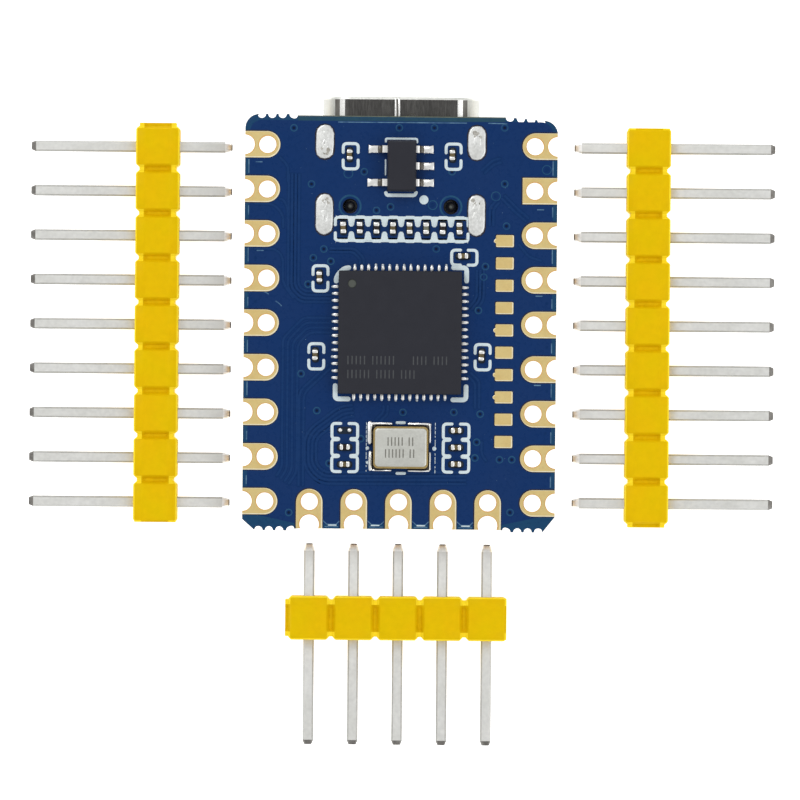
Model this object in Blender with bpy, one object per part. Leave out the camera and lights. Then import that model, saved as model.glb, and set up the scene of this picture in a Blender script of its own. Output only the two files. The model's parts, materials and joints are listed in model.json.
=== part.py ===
"""A microcontroller dev board with three pin header strips laid out beside it.

The castellated board lies chip side up on the shell of its USB socket, which is on the underside with
the flash memory, a colour LED and two push buttons. Shapes are drawn in millimetres about the board's
centre, +Y towards the USB socket, and become metres when each object is made.
"""

import math

import bmesh
import bpy
from mathutils import Matrix, Vector

MM = 0.001
GAP = 0.02  # assembly clearance between two pieces that touch
OVERLAP = 0.05  # how far joined shapes reach into each other, and cutters past a face

# Board outline
BOARD_WIDTH = 17.8
BOARD_LENGTH = 23.5
BOARD_THICKNESS = 1.0
TOP_CORNER_RADIUS = 0.7
LEFT_CORNER_CUT = (0.5, 0.7)  # along the side, along the end
RIGHT_CORNER_CUT = (0.6, 0.7)
BITE_RADIUS = 0.25  # break-off perforations near the corners
BITE_PITCH = 0.6
BITE_FIRST_X = 6.2
BITE_COUNT = 4

# Plated holes, in two side rows and one end row
PITCH = 2.54
ROW_SPACING = 6 * PITCH
SIDE_PINS = 9
END_PINS = 5
ROW_CENTRE_Y = -0.06
HOLE_RADIUS = 0.51
CASTELLATION_RADIUS = 0.56
SIDE_CASTELLATION_INSET = -0.02  # how far its centre is inside the board's edge
END_CASTELLATION_INSET = 0.23

# USB socket
USB_WIDTH = 8.94
USB_HEIGHT = 3.16
USB_WALL = 0.3
USB_FRONT_Y = 12.82
USB_DEPTH = 7.35
USB_TONGUE = (6.69, 5.0, 0.7)  # width, length past the rear block, thickness
USB_REAR_BLOCK_DEPTH = 1.9
LEG_X = 4.32
LEG_THICKNESS = 0.28
LEG_STAND_OUT = 0.12  # above the board's top
LEG_SLOT_WIDTH = 0.6
LEGS = ((10.27, 1.1, 1.5), (6.14, 1.5, 1.9))  # Y, leg length, slot length
PEG_PLACE = (2.88, 6.63)
PEG_RADIUS = 0.25
PEG_TIP_RADIUS = 0.15
PEG_TAPER = 0.1
PEG_SINK = 0.2  # below the board's top
PEG_HOLE_RADIUS = 0.34

# Top side packages: centre X, Y and size
MCU_PLACE = (0.0, -0.56)
MCU_SIZE = (7.0, 7.0, 0.85)
MCU_BEVEL = 0.04
MCU_DIMPLE = (-2.75, 2.75, 0.25, 0.05)  # X, Y, radius, depth
REGULATOR_PLACE = (0.03, 8.92)
REGULATOR_BODY = (1.6, 2.95, 1.1)
REGULATOR_DRAFT = ((0.08, 0.1), (0.0, 0.55), (0.0, 0.62), (0.1, 1.1))  # inset, height
LEAD_PITCH = 0.95
LEAD_WIDTH = 0.42
LEAD_SHEET = 0.15
LEAD_SHOULDER = 0.62  # height of its upper run
LEAD_STATIONS = (0.6, 1.0, 1.45)  # from the axis: inside the package, foot of the rise, tip
CRYSTAL_PLACE = (0.13, -7.1)
CRYSTAL_BASE = (3.2, 2.5, 0.55)
CRYSTAL_NOTCH = 0.15
CRYSTAL_LID = (2.8, 2.11, 0.2)
LID_CORNER = 0.17
LID_BEVEL = 0.06
CHIP_SIZE = (0.6, 0.3, 0.3)  # 0201 two-terminal parts
CHIP_CAP = 0.15
CHIP_WAIST = 0.015  # how far the body is set in from its end caps
CHIP_ROW_PLACE = (0.02, 5.39)
CHIP_ROW_PITCH = 0.945
CHIP_ROW_KINDS = (
    "capacitor", "resistor", "resistor", "capacitor", "capacitor", "inductor", "resistor", "capacitor",
)
# Name, X, Y, quarter turns
LOOSE_CHIPS = (
    ("regulator_capacitor_1", -2.96, 9.55, 1),
    ("regulator_capacitor_2", 2.9, 9.57, 1),
    ("mcu_capacitor_1", 3.56, 3.83, 0),
    ("mcu_capacitor_2", -4.62, 2.58, 1),
    ("mcu_capacitor_3", -4.82, -1.86, 1),
    ("mcu_capacitor_4", 4.65, -1.83, 1),
)

# Underside packages
FLASH_PLACE = (0.0, 2.2)
FLASH_SIZE = (3.0, 2.0, 0.55)
FLASH_BEVEL = 0.03
LED_PLACE = (0.0, -2.0)
LED_SIZE = (3.5, 3.5, 1.1)
LED_KEY_CORNER = 0.5
LED_WELL = (1.4, 1.25, 0.55)  # radius at the mouth, at the floor, depth
LED_LENS_SINK = 0.04
SWITCHES = (("boot", -4.6), ("reset", 4.6))
SWITCH_Y = -5.5
SWITCH_BASE = (4.0, 3.0, 0.9)
SWITCH_WELL_RADIUS = 1.15
SWITCH_WELL_FLOOR = 0.3
SWITCH_COVER = 0.12
SWITCH_SKIRT = (2.2, 0.6)  # length, how far it reaches down the base
DOME_RADIUS = 1.05
DOME_SHEET = 0.05
DOME_RISE = 0.25  # the button's whole travel
DOME_ANGLES = (0.35, 0.8, 1.2)  # radians, from the rim towards the top
BUTTON_FLANGE = (1.0, 0.2)  # radius, thickness
BUTTON_STEM_RADIUS = 0.75
BUTTON_BEVEL = 0.08
SWITCH_HEIGHT = 1.9

# Header strips, lying with their pins level and their short pins towards the board
PIN_WIDTH = 0.62
PIN_TIP_WIDTH = 0.32
PIN_TIP_LENGTH = 0.45
SHORT_PIN = 3.0
LONG_PIN = 6.0
HOUSING_WIDTH = 2.5
HOUSING_FLAT = 2.1  # along the strip, of each of its blocks
HOUSING_NECK = 0.16  # along the strip, between two chamfers
HOUSING_NECK_DROP = 0.4
LEFT_HEADER_PLACE = (-13.92, -0.18)
RIGHT_HEADER_PLACE = (14.16, -0.06)
END_HEADER_PLACE = (0.0, -16.89)

# Heights above the surface that the kit stands on
BOARD_BOTTOM = USB_HEIGHT + GAP
BOARD_TOP = BOARD_BOTTOM + BOARD_THICKNESS
SEAT_TOP = BOARD_TOP + GAP
SEAT_BOTTOM = BOARD_BOTTOM - GAP

# The kit's box is centred on the origin
HEADER_REACH = HOUSING_WIDTH / 2 + LONG_PIN
KIT_SHIFT_X = -(LEFT_HEADER_PLACE[0] - HEADER_REACH + RIGHT_HEADER_PLACE[0] + HEADER_REACH) / 2
KIT_SHIFT_Y = -(END_HEADER_PLACE[1] - HEADER_REACH + USB_FRONT_Y) / 2


# ---------------------------------------------------------------- scene and materials
def clear_scene():
    for obj in list(bpy.data.objects):
        bpy.data.objects.remove(obj, do_unlink=True)


def material(name, colour, roughness, metallic=0.0):
    made = bpy.data.materials.new(name)
    made.use_nodes = True
    made.diffuse_color = (*colour, 1.0)
    shader = made.node_tree.nodes["Principled BSDF"]
    shader.inputs["Base Color"].default_value = (*colour, 1.0)
    shader.inputs["Roughness"].default_value = roughness
    shader.inputs["Metallic"].default_value = metallic
    return made


def make_materials():
    return {
        "board": material("board_solder_mask", (0.012, 0.045, 0.15), 0.35),
        "package": material("package_epoxy", (0.03, 0.031, 0.033), 0.5),
        "ceramic": material("crystal_ceramic", (0.03, 0.027, 0.025), 0.6),
        "lid": material("crystal_lid_metal", (0.72, 0.70, 0.66), 0.35, 1.0),
        "usb": material("usb_shell_steel", (0.75, 0.75, 0.74), 0.25, 1.0),
        "insulator": material("usb_insulator_plastic", (0.02, 0.02, 0.02), 0.5),
        "led_body": material("led_housing_plastic", (0.85, 0.85, 0.83), 0.5),
        "led_lens": material("led_lens_resin", (0.9, 0.9, 0.86), 0.15),
        "switch_base": material("switch_base_plastic", (0.03, 0.03, 0.03), 0.5),
        "switch_cover": material("switch_cover_steel", (0.7, 0.7, 0.7), 0.3, 1.0),
        "button": material("button_plastic", (0.75, 0.75, 0.72), 0.45),
        "dome": material("dome_steel", (0.65, 0.65, 0.65), 0.25, 1.0),
        "capacitor": material("capacitor_ceramic", (0.30, 0.20, 0.10), 0.5),
        "resistor": material("resistor_black", (0.02, 0.02, 0.02), 0.45),
        "inductor": material("inductor_grey", (0.17, 0.16, 0.13), 0.5),
        "housing": material("header_yellow_plastic", (0.79, 0.50, 0.01), 0.45),
        "pin": material("header_pin_metal", (0.70, 0.69, 0.66), 0.3, 1.0),
    }


# ---------------------------------------------------------------- drawing, in millimetres
def rectangle(width, length, x=0.0, y=0.0):
    w, h = width / 2, length / 2
    return [(x - w, y - h), (x + w, y - h), (x + w, y + h), (x - w, y + h)]


def arc(centre, radius, first, last, steps):
    """Points from angle first to angle last, in degrees, both ends included."""
    angles = [math.radians(first + (last - first) * i / steps) for i in range(steps + 1)]
    return [(centre[0] + radius * math.cos(a), centre[1] + radius * math.sin(a)) for a in angles]


def circle(centre, radius, steps=16):
    return arc(centre, radius, 0, 360, steps)[:-1]


def rounded_rectangle(width, length, radius, steps=4):
    w, h = width / 2 - radius, length / 2 - radius
    points = []
    for quarter, (x, y) in enumerate(((w, h), (-w, h), (-w, -h), (w, -h))):
        points += arc((x, y), radius, 90 * quarter, 90 * quarter + 90, steps)
    return distinct(points)


def slot(x, y, width, length, steps=6):
    """A round-ended slot along Y."""
    radius, reach = width / 2, (length - width) / 2
    return arc((x, y + reach), radius, 0, 180, steps) + arc((x, y - reach), radius, 180, 360, steps)


def distinct(points, apart=1e-6):
    """The closed outline without points that repeat the one before."""
    pairs = zip(points, points[-1:] + points[:-1])
    return [p for p, before in pairs if math.dist(p, before) > apart]


def prism(outline, low, high, holes=()):
    """A bmesh of a flat outline, with holes, between two heights."""
    bm = bmesh.new()
    for loop in (outline, *holes):
        verts = [bm.verts.new((x, y, low)) for x, y in loop]
        for i, vert in enumerate(verts):
            bm.edges.new((vert, verts[(i + 1) % len(verts)]))
    floor = bmesh.ops.triangle_fill(bm, edges=bm.edges[:], use_beauty=True)
    faces = [item for item in floor["geom"] if isinstance(item, bmesh.types.BMFace)]
    raised = bmesh.ops.extrude_face_region(bm, geom=faces, use_keep_orig=True)
    lifted = [item for item in raised["geom"] if isinstance(item, bmesh.types.BMVert)]
    bmesh.ops.translate(bm, verts=lifted, vec=(0, 0, high - low))
    bmesh.ops.recalc_face_normals(bm, faces=bm.faces[:])
    return bm


def loft(loops):
    """A closed bmesh through loops of 3-D points, all with the same count, capped at both ends."""
    bm = bmesh.new()
    rings = [[bm.verts.new(point) for point in loop] for loop in loops]
    count = len(rings[0])
    for ring, above in zip(rings, rings[1:]):
        for i in range(count):
            j = (i + 1) % count
            bm.faces.new((ring[i], ring[j], above[j], above[i]))
    bm.faces.new(rings[0][::-1])
    bm.faces.new(rings[-1])
    bmesh.ops.recalc_face_normals(bm, faces=bm.faces[:])
    return bm


def box(low, high):
    centre = [(a + b) / 2 for a, b in zip(low, high)]
    outline = rectangle(high[0] - low[0], high[1] - low[1], centre[0], centre[1])
    return loft([[(x, y, z) for x, y in outline] for z in (low[2], high[2])])


def slab(width, length, height, bevel):
    """A block whose upper edges are bevelled, as on a moulded package."""
    sizes = ((0.0, 0.0), (0.0, height - bevel), (bevel, height))
    return loft([
        [(x, y, z) for x, y in rectangle(width - 2 * inset, length - 2 * inset)] for inset, z in sizes
    ])


def turned(profile, steps=20):
    """A solid of revolution about Z from (radius, height) points that start and end on the axis."""
    bm = bmesh.new()
    start, end = profile[0], profile[-1]
    bottom = bm.verts.new((0, 0, start[1]))
    top = bm.verts.new((0, 0, end[1]))
    rings = [
        [bm.verts.new((x, y, height)) for x, y in circle((0, 0), radius, steps)]
        for radius, height in profile[1:-1]
    ]
    for i in range(steps):
        j = (i + 1) % steps
        bm.faces.new((bottom, rings[0][i], rings[0][j]))
        bm.faces.new((top, rings[-1][j], rings[-1][i]))
        for ring, above in zip(rings, rings[1:]):
            bm.faces.new((ring[i], ring[j], above[j], above[i]))
    bmesh.ops.recalc_face_normals(bm, faces=bm.faces[:])
    return bm


def link(name, mesh):
    obj = bpy.data.objects.new(name, mesh)
    bpy.context.collection.objects.link(obj)
    return obj


def combine(base, tool, operation):
    """The exact Boolean of two bmeshes, which it frees, as a new one."""
    pieces = []
    for bm in (base, tool):
        mesh = bpy.data.meshes.new("boolean")
        bm.to_mesh(mesh)
        bm.free()
        pieces.append(link("boolean", mesh))
    modifier = pieces[0].modifiers.new("boolean", "BOOLEAN")
    modifier.operation = operation
    modifier.object = pieces[1]
    solid = pieces[0].evaluated_get(bpy.context.evaluated_depsgraph_get())
    result = bmesh.new()
    result.from_mesh(solid.to_mesh())
    for obj in pieces:
        mesh = obj.data
        bpy.data.objects.remove(obj)
        bpy.data.meshes.remove(mesh)
    return result


def place(name, bm, mat, at, parent, turn=None):
    """Makes the bmesh a named object in metres, with its origin at the given point in millimetres."""
    bm.transform(Matrix.Scale(MM, 4))
    mesh = bpy.data.meshes.new(name)
    bm.to_mesh(mesh)
    bm.free()
    mesh.materials.append(mat)
    mesh.shade_smooth()
    mesh.set_sharp_from_angle(angle=math.radians(35))
    obj = link(name, mesh)
    obj.location = Vector(at) * MM
    obj.rotation_euler = turn or (0, 0, 0)
    obj.parent = parent
    return obj


def empty(name, at, parent=None, turn=None):
    obj = link(name, None)
    obj.location = Vector(at) * MM
    obj.rotation_euler = turn or (0, 0, 0)
    obj.parent = parent
    return obj


# ---------------------------------------------------------------- board
def row_places(count):
    """Positions of a row of holes about its middle."""
    return [PITCH * (i - (count - 1) / 2) for i in range(count)]


def notched(start, end, notches):
    """Points along one straight edge, each notch (distance, radius, inset) cut into its left side."""
    along = (Vector(end) - Vector(start)).normalized()
    inward = Vector((-along.y, along.x))
    points = [start]
    for distance, radius, inset in sorted(notches):
        lean = math.degrees(math.asin(inset / radius))
        for a, b in arc((distance, inset), radius, 180 + lean, -lean, 8):
            points.append(tuple(Vector(start) + along * a + inward * b))
    return points + [end]


def board_outline():
    """Anticlockwise from the lower left corner."""
    w, h = BOARD_WIDTH / 2, BOARD_LENGTH / 2
    corner = TOP_CORNER_RADIUS
    bites = [BITE_FIRST_X + BITE_PITCH * i for i in range(BITE_COUNT)]
    bites = [(x, BITE_RADIUS, 0.0) for x in bites] + [(-x, BITE_RADIUS, 0.0) for x in bites]
    ends = [(x, CASTELLATION_RADIUS, END_CASTELLATION_INSET) for x in row_places(END_PINS)]
    sides = [(y + ROW_CENTRE_Y, CASTELLATION_RADIUS, SIDE_CASTELLATION_INSET) for y in row_places(SIDE_PINS)]

    lower_left = (-w + LEFT_CORNER_CUT[1], -h)
    lower_right = (w - RIGHT_CORNER_CUT[1], -h)
    right_foot = (w, -h + RIGHT_CORNER_CUT[0])
    left_foot = (-w, -h + LEFT_CORNER_CUT[0])
    bottom = [(x - lower_left[0], radius, inset) for x, radius, inset in bites + ends]
    right = [(y - right_foot[1], radius, inset) for y, radius, inset in sides]
    top = [(w - corner - x, radius, inset) for x, radius, inset in bites]
    left = [(h - corner - y, radius, inset) for y, radius, inset in sides]
    points = notched(lower_left, lower_right, bottom)
    points += notched(right_foot, (w, h - corner), right)
    points += arc((w - corner, h - corner), corner, 0, 90, 5)
    points += notched((w - corner, h), (corner - w, h), top)
    points += arc((corner - w, h - corner), corner, 90, 180, 5)
    points += notched((-w, h - corner), left_foot, left)
    return distinct(points)


def hole_places():
    side = ROW_SPACING / 2
    first_y = row_places(SIDE_PINS)[0] + ROW_CENTRE_Y
    places = [(x, y + ROW_CENTRE_Y) for x in (-side, side) for y in row_places(SIDE_PINS)]
    return places + [(x, first_y) for x in row_places(END_PINS)]


def make_board(mats, board):
    holes = [circle(centre, HOLE_RADIUS, 16) for centre in hole_places()]
    holes += [slot(side * LEG_X, y, LEG_SLOT_WIDTH, length) for side in (-1, 1) for y, _, length in LEGS]
    holes += [circle((side * PEG_PLACE[0], PEG_PLACE[1]), PEG_HOLE_RADIUS, 12) for side in (-1, 1)]
    bm = prism(board_outline(), -BOARD_THICKNESS / 2, BOARD_THICKNESS / 2, holes)
    place("pcb", bm, mats["board"], (0, 0, BOARD_BOTTOM + BOARD_THICKNESS / 2), board)


# ---------------------------------------------------------------- USB socket
def along_y(outline, first, last):
    """The outline, drawn in X and Z, as two loops at two places along Y."""
    return [[(x, y, z) for x, z in outline] for y in (first, last)]


def make_usb(mats, board):
    middle = USB_HEIGHT / 2
    radius = middle - GAP
    outer = rounded_rectangle(USB_WIDTH, USB_HEIGHT, radius, 6)
    cavity = (USB_WIDTH - 2 * USB_WALL, USB_HEIGHT - 2 * USB_WALL, radius - USB_WALL)
    inner = rounded_rectangle(*cavity, 6)
    rear = -USB_DEPTH
    shell = loft(along_y(outer, rear, 0))
    shell = combine(shell, loft(along_y(inner, rear - OVERLAP, OVERLAP)), "DIFFERENCE")
    relief = PEG_PLACE[0] + 2 * PEG_RADIUS
    relief_top = rear + USB_REAR_BLOCK_DEPTH + GAP
    opening = box((-relief, rear - OVERLAP, middle / 2), (relief, relief_top, USB_HEIGHT))
    shell = combine(shell, opening, "DIFFERENCE")
    leg_top = BOARD_TOP + LEG_STAND_OUT - middle
    for side in (-1, 1):
        for y, length, _ in LEGS:
            low = (side * LEG_X - LEG_THICKNESS / 2, y - USB_FRONT_Y - length / 2, 0)
            high = (side * LEG_X + LEG_THICKNESS / 2, y - USB_FRONT_Y + length / 2, leg_top)
            shell = combine(shell, box(low, high), "UNION")
    place("usb_shell", shell, mats["usb"], (0, USB_FRONT_Y, middle), board)

    fill = rounded_rectangle(cavity[0] - 2 * GAP, cavity[1] - 2 * GAP, cavity[2] - GAP, 6)
    block_end = rear + USB_REAR_BLOCK_DEPTH
    body = loft(along_y(fill, rear + GAP, block_end))
    width, length, thickness = USB_TONGUE
    tongue_root = (-width / 2, block_end - OVERLAP, -thickness / 2)
    tongue_tip = (width / 2, block_end + length, thickness / 2)
    body = combine(body, box(tongue_root, tongue_tip), "UNION")
    peg_top = BOARD_TOP - middle - PEG_SINK
    peg_profile = [
        (0, 0), (PEG_RADIUS, 0), (PEG_RADIUS, peg_top - PEG_TAPER), (PEG_TIP_RADIUS, peg_top), (0, peg_top),
    ]
    for side in (-1, 1):
        peg = turned(peg_profile, 12)
        peg.transform(Matrix.Translation((side * PEG_PLACE[0], PEG_PLACE[1] - USB_FRONT_Y, 0)))
        body = combine(body, peg, "UNION")
    place("usb_insulator", body, mats["insulator"], (0, USB_FRONT_Y, middle), board)


# ---------------------------------------------------------------- top side
def make_mcu(mats, board):
    width, length, height = MCU_SIZE
    bm = slab(width, length, height, MCU_BEVEL)
    x, y, radius, depth = MCU_DIMPLE
    low, high = height - depth, height + OVERLAP
    dimple = turned([(0, low), (radius - depth, low), (radius + OVERLAP, high), (0, high)], 12)
    dimple.transform(Matrix.Translation((x, y, 0)))
    bm = combine(bm, dimple, "DIFFERENCE")
    place("mcu_chip", bm, mats["package"], (*MCU_PLACE, SEAT_TOP), board)


def lead_profile(side):
    """A gull-wing lead in X and Z: foot, rise and the stretch inside the package."""
    inside, rise, foot = LEAD_STATIONS
    sheet, shoulder = LEAD_SHEET, LEAD_SHOULDER
    points = [
        (foot, 0), (foot, sheet), (rise + sheet, sheet), (rise, shoulder), (inside, shoulder),
        (inside, shoulder - sheet), (rise - sheet, shoulder - sheet), (rise, 0),
    ]
    return [(side * x, z) for x, z in points]


def make_regulator(mats, board):
    width, length = REGULATOR_BODY[:2]
    bm = loft([
        [(x, y, z) for x, y in rectangle(width - 2 * inset, length - 2 * inset)]
        for inset, z in REGULATOR_DRAFT
    ])
    for side, rows in ((-1, (-1, 1)), (1, (-1, 0, 1))):
        for row in rows:
            middle = row * LEAD_PITCH
            ends = (middle - LEAD_WIDTH / 2, middle + LEAD_WIDTH / 2)
            bm = combine(bm, loft(along_y(lead_profile(side), *ends)), "UNION")
    place("voltage_regulator", bm, mats["package"], (*REGULATOR_PLACE, SEAT_TOP), board)


def make_crystal(mats, board):
    width, length, height = CRYSTAL_BASE
    outline = []
    for quarter, (x, y) in enumerate(((1, 1), (-1, 1), (-1, -1), (1, -1))):
        start = 90 * quarter
        outline += arc((x * width / 2, y * length / 2), CRYSTAL_NOTCH, start + 270, start + 180, 3)
    bm = prism(distinct(outline), 0, height)
    place("crystal_base", bm, mats["ceramic"], (*CRYSTAL_PLACE, SEAT_TOP), board)

    lid_width, lid_length, lid_height = CRYSTAL_LID
    step = lid_height / 2
    loops = []
    for inset, z in ((0, 0), (0, step), (LID_BEVEL, lid_height)):
        outline = rounded_rectangle(lid_width - 2 * inset, lid_length - 2 * inset, LID_CORNER)
        loops.append([(x, y, z) for x, y in outline])
    place("crystal_lid", loft(loops), mats["lid"], (*CRYSTAL_PLACE, SEAT_TOP + height + GAP), board)


def chip_body():
    """A two-terminal chip along X: its end caps stand a little proud of the body between them."""
    length, width, height = CHIP_SIZE
    end, waist = length / 2, length / 2 - CHIP_CAP
    stations = ((-end, 0), (-waist, 0), (-waist, CHIP_WAIST), (waist, CHIP_WAIST), (waist, 0), (end, 0))
    loops = []
    for x, drop in stations:
        section = rectangle(width - 2 * drop, height - 2 * drop, 0, height / 2)
        loops.append([(x, y, z) for y, z in section])
    return loft(loops)


def make_chips(mats, board):
    for i, kind in enumerate(CHIP_ROW_KINDS):
        x = CHIP_ROW_PLACE[0] + CHIP_ROW_PITCH * (i - (len(CHIP_ROW_KINDS) - 1) / 2)
        at = (x, CHIP_ROW_PLACE[1], SEAT_TOP)
        place(f"row_{kind}_{i + 1}", chip_body(), mats[kind], at, board, (0, 0, math.pi / 2))
    for name, x, y, quarters in LOOSE_CHIPS:
        turn = (0, 0, quarters * math.pi / 2)
        place(name, chip_body(), mats["capacitor"], (x, y, SEAT_TOP), board, turn)


# ---------------------------------------------------------------- underside, drawn away from the board
def make_flash(mats, board):
    width, length, height = FLASH_SIZE
    bm = slab(width, length, height, FLASH_BEVEL)
    place("flash_chip", bm, mats["package"], (*FLASH_PLACE, SEAT_BOTTOM), board, (math.pi, 0, 0))


def make_led(mats, board):
    width, length, height = LED_SIZE
    mouth_radius, floor_radius, depth = LED_WELL
    outline = rectangle(width, length)
    outline[2:3] = [(width / 2, length / 2 - LED_KEY_CORNER), (width / 2 - LED_KEY_CORNER, length / 2)]
    bm = prism(outline, 0, height)
    floor = height - depth
    past = height + OVERLAP
    rim = (mouth_radius, height)
    well = turned([(0, floor), (floor_radius, floor), rim, (mouth_radius, past), (0, past)])
    bm = combine(bm, well, "DIFFERENCE")
    face_down = (math.pi, 0, 0)
    at = (*LED_PLACE, SEAT_BOTTOM)
    place("led_housing", bm, mats["led_body"], at, board, face_down)
    low, high = floor + GAP, height - LED_LENS_SINK
    lens = turned([(0, low), (floor_radius - 2 * GAP, low), (mouth_radius - 3 * GAP, high), (0, high)])
    place("led_lens", lens, mats["led_lens"], at, board, face_down)


def dome_profile():
    """A snap dome's sheet: up its inner side from the rim and back over the outside, to the axis."""
    rim = SWITCH_WELL_FLOOR + GAP
    inner = [(DOME_RADIUS * math.cos(t), rim + DOME_RISE * math.sin(t)) for t in DOME_ANGLES]
    outer = [(r + DOME_SHEET / 3, z + DOME_SHEET) for r, z in reversed(inner)]
    foot = [(DOME_RADIUS - DOME_SHEET, rim), (DOME_RADIUS + DOME_SHEET / 3, rim)]
    top = rim + DOME_RISE
    return [(0, top), *reversed(inner), foot[0], foot[1], *reversed(outer), (0, top + DOME_SHEET)]


def make_switch(name, x, mats, board):
    """A push switch: base, snap dome, button and the steel cover that holds them in."""
    width, length, height = SWITCH_BASE
    axis = empty(f"{name}_press_axis", (x, SWITCH_Y, SEAT_BOTTOM), board, (math.pi, 0, 0))
    well = circle((0, 0), SWITCH_WELL_RADIUS, 20)
    base = box((-width / 2, -length / 2, 0), (width / 2, length / 2, height))
    base = combine(base, prism(well, SWITCH_WELL_FLOOR, height + OVERLAP), "DIFFERENCE")
    place(f"{name}_switch_base", base, mats["switch_base"], (0, 0, 0), axis)

    place(f"{name}_switch_dome", turned(dome_profile()), mats["dome"], (0, 0, 0), axis)

    flange_radius, flange = BUTTON_FLANGE
    foot = SWITCH_WELL_FLOOR + DOME_RISE + DOME_SHEET + 2 * GAP
    profile = [
        (0, foot), (flange_radius, foot), (flange_radius, foot + flange),
        (BUTTON_STEM_RADIUS, foot + flange), (BUTTON_STEM_RADIUS, SWITCH_HEIGHT - BUTTON_BEVEL),
        (BUTTON_STEM_RADIUS - BUTTON_BEVEL, SWITCH_HEIGHT), (0, SWITCH_HEIGHT),
    ]
    place(f"{name}_button", turned(profile), mats["button"], (0, 0, 0), axis)

    lid = height + GAP
    skirt_length, skirt_drop = SWITCH_SKIRT
    outer = width / 2 + GAP + SWITCH_COVER
    hole = circle((0, 0), BUTTON_STEM_RADIUS + 2 * GAP, 20)
    cover = prism(rectangle(2 * outer, length), lid, lid + SWITCH_COVER, [hole])
    for side in (-1, 1):
        inner = outer - SWITCH_COVER
        edges = sorted((side * inner, side * outer))
        low = (edges[0], -skirt_length / 2, height - skirt_drop)
        skirt = box(low, (edges[1], skirt_length / 2, lid + OVERLAP))
        cover = combine(cover, skirt, "UNION")
    place(f"{name}_switch_cover", cover, mats["switch_cover"], (0, 0, 0), axis)


# ---------------------------------------------------------------- header strips, pins along local Y
def housing(count):
    """Blocks joined by necks along X, with a square hole for each pin from -Y to +Y, on local Z = 0."""
    bm = bmesh.new()
    full = HOUSING_WIDTH / 2
    neck = full - HOUSING_NECK_DROP
    bore = PIN_WIDTH / 2 + GAP
    chamfer = (PITCH - HOUSING_FLAT - HOUSING_NECK) / 2

    def ring(x, half):
        return [bm.verts.new((x, y, z)) for y, z in rectangle(2 * half, 2 * half)]

    def sides(first, second, skip=()):
        for i in range(4):
            if i not in skip:
                bm.faces.new((first[i], first[(i + 1) % 4], second[(i + 1) % 4], second[i]))

    def pierced(corners, x, y):
        """The block's face at this Y, as four faces round the pin's hole, and the hole's corners."""
        square = [(x - bore, -bore), (x + bore, -bore), (x + bore, bore), (x - bore, bore)]
        mouth = [bm.verts.new((a, y, b)) for a, b in square]
        for i in range(4):
            bm.faces.new((corners[i], corners[(i + 1) % 4], mouth[(i + 1) % 4], mouth[i]))
        return mouth

    before = None
    for x in row_places(count):
        half = HOUSING_FLAT / 2
        start = ring(x - half - chamfer, neck)
        left = ring(x - half, full)
        right = ring(x + half, full)
        end = ring(x + half + chamfer, neck)
        if before:
            sides(before, start)
        else:
            bm.faces.new(start)
        sides(start, left)
        sides(right, end)
        sides(left, right, skip=(1, 3))
        near = pierced((left[0], right[0], right[3], left[3]), x, -full)
        far = pierced((left[1], right[1], right[2], left[2]), x, full)
        for i in range(4):
            bm.faces.new((near[i], near[(i + 1) % 4], far[(i + 1) % 4], far[i]))
        before = end
    bm.faces.new(before)
    bmesh.ops.recalc_face_normals(bm, faces=bm.faces[:])
    return bm


def pin():
    """A square pin along Y with drawn-down tips: the short end towards +Y."""
    start, end = -HOUSING_WIDTH / 2 - LONG_PIN, HOUSING_WIDTH / 2 + SHORT_PIN
    stations = (
        (start, PIN_TIP_WIDTH), (start + PIN_TIP_LENGTH, PIN_WIDTH), (end - PIN_TIP_LENGTH, PIN_WIDTH),
        (end, PIN_TIP_WIDTH),
    )
    return loft([[(x, y, z) for x, z in rectangle(size, size)] for y, size in stations])


def make_header(name, count, at, quarter_turns, mats, board):
    strip = empty(f"{name}_header_axis", at, board, (0, 0, quarter_turns * math.pi / 2))
    place(f"{name}_header_housing", housing(count), mats["housing"], (0, 0, 0), strip)
    for i, x in enumerate(row_places(count)):
        place(f"{name}_header_pin_{i + 1}", pin(), mats["pin"], (x, 0, 0), strip)


# ---------------------------------------------------------------- the kit
def main():
    clear_scene()
    mats = make_materials()
    board = empty("board_frame", (KIT_SHIFT_X, KIT_SHIFT_Y, 0))
    make_board(mats, board)
    make_usb(mats, board)
    make_mcu(mats, board)
    make_regulator(mats, board)
    make_crystal(mats, board)
    make_chips(mats, board)
    make_flash(mats, board)
    make_led(mats, board)
    for name, x in SWITCHES:
        make_switch(name, x, mats, board)
    level = HOUSING_WIDTH / 2
    make_header("left", SIDE_PINS, (*LEFT_HEADER_PLACE, level), 3, mats, board)
    make_header("right", SIDE_PINS, (*RIGHT_HEADER_PLACE, level), 1, mats, board)
    make_header("bottom", END_PINS, (*END_HEADER_PLACE, level), 0, mats, board)


main()
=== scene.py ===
"""Looks for the microcontroller dev board kit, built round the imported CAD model.
"""

import json
import math
import random

import bmesh
import bpy
from mathutils import Matrix, Vector


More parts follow.
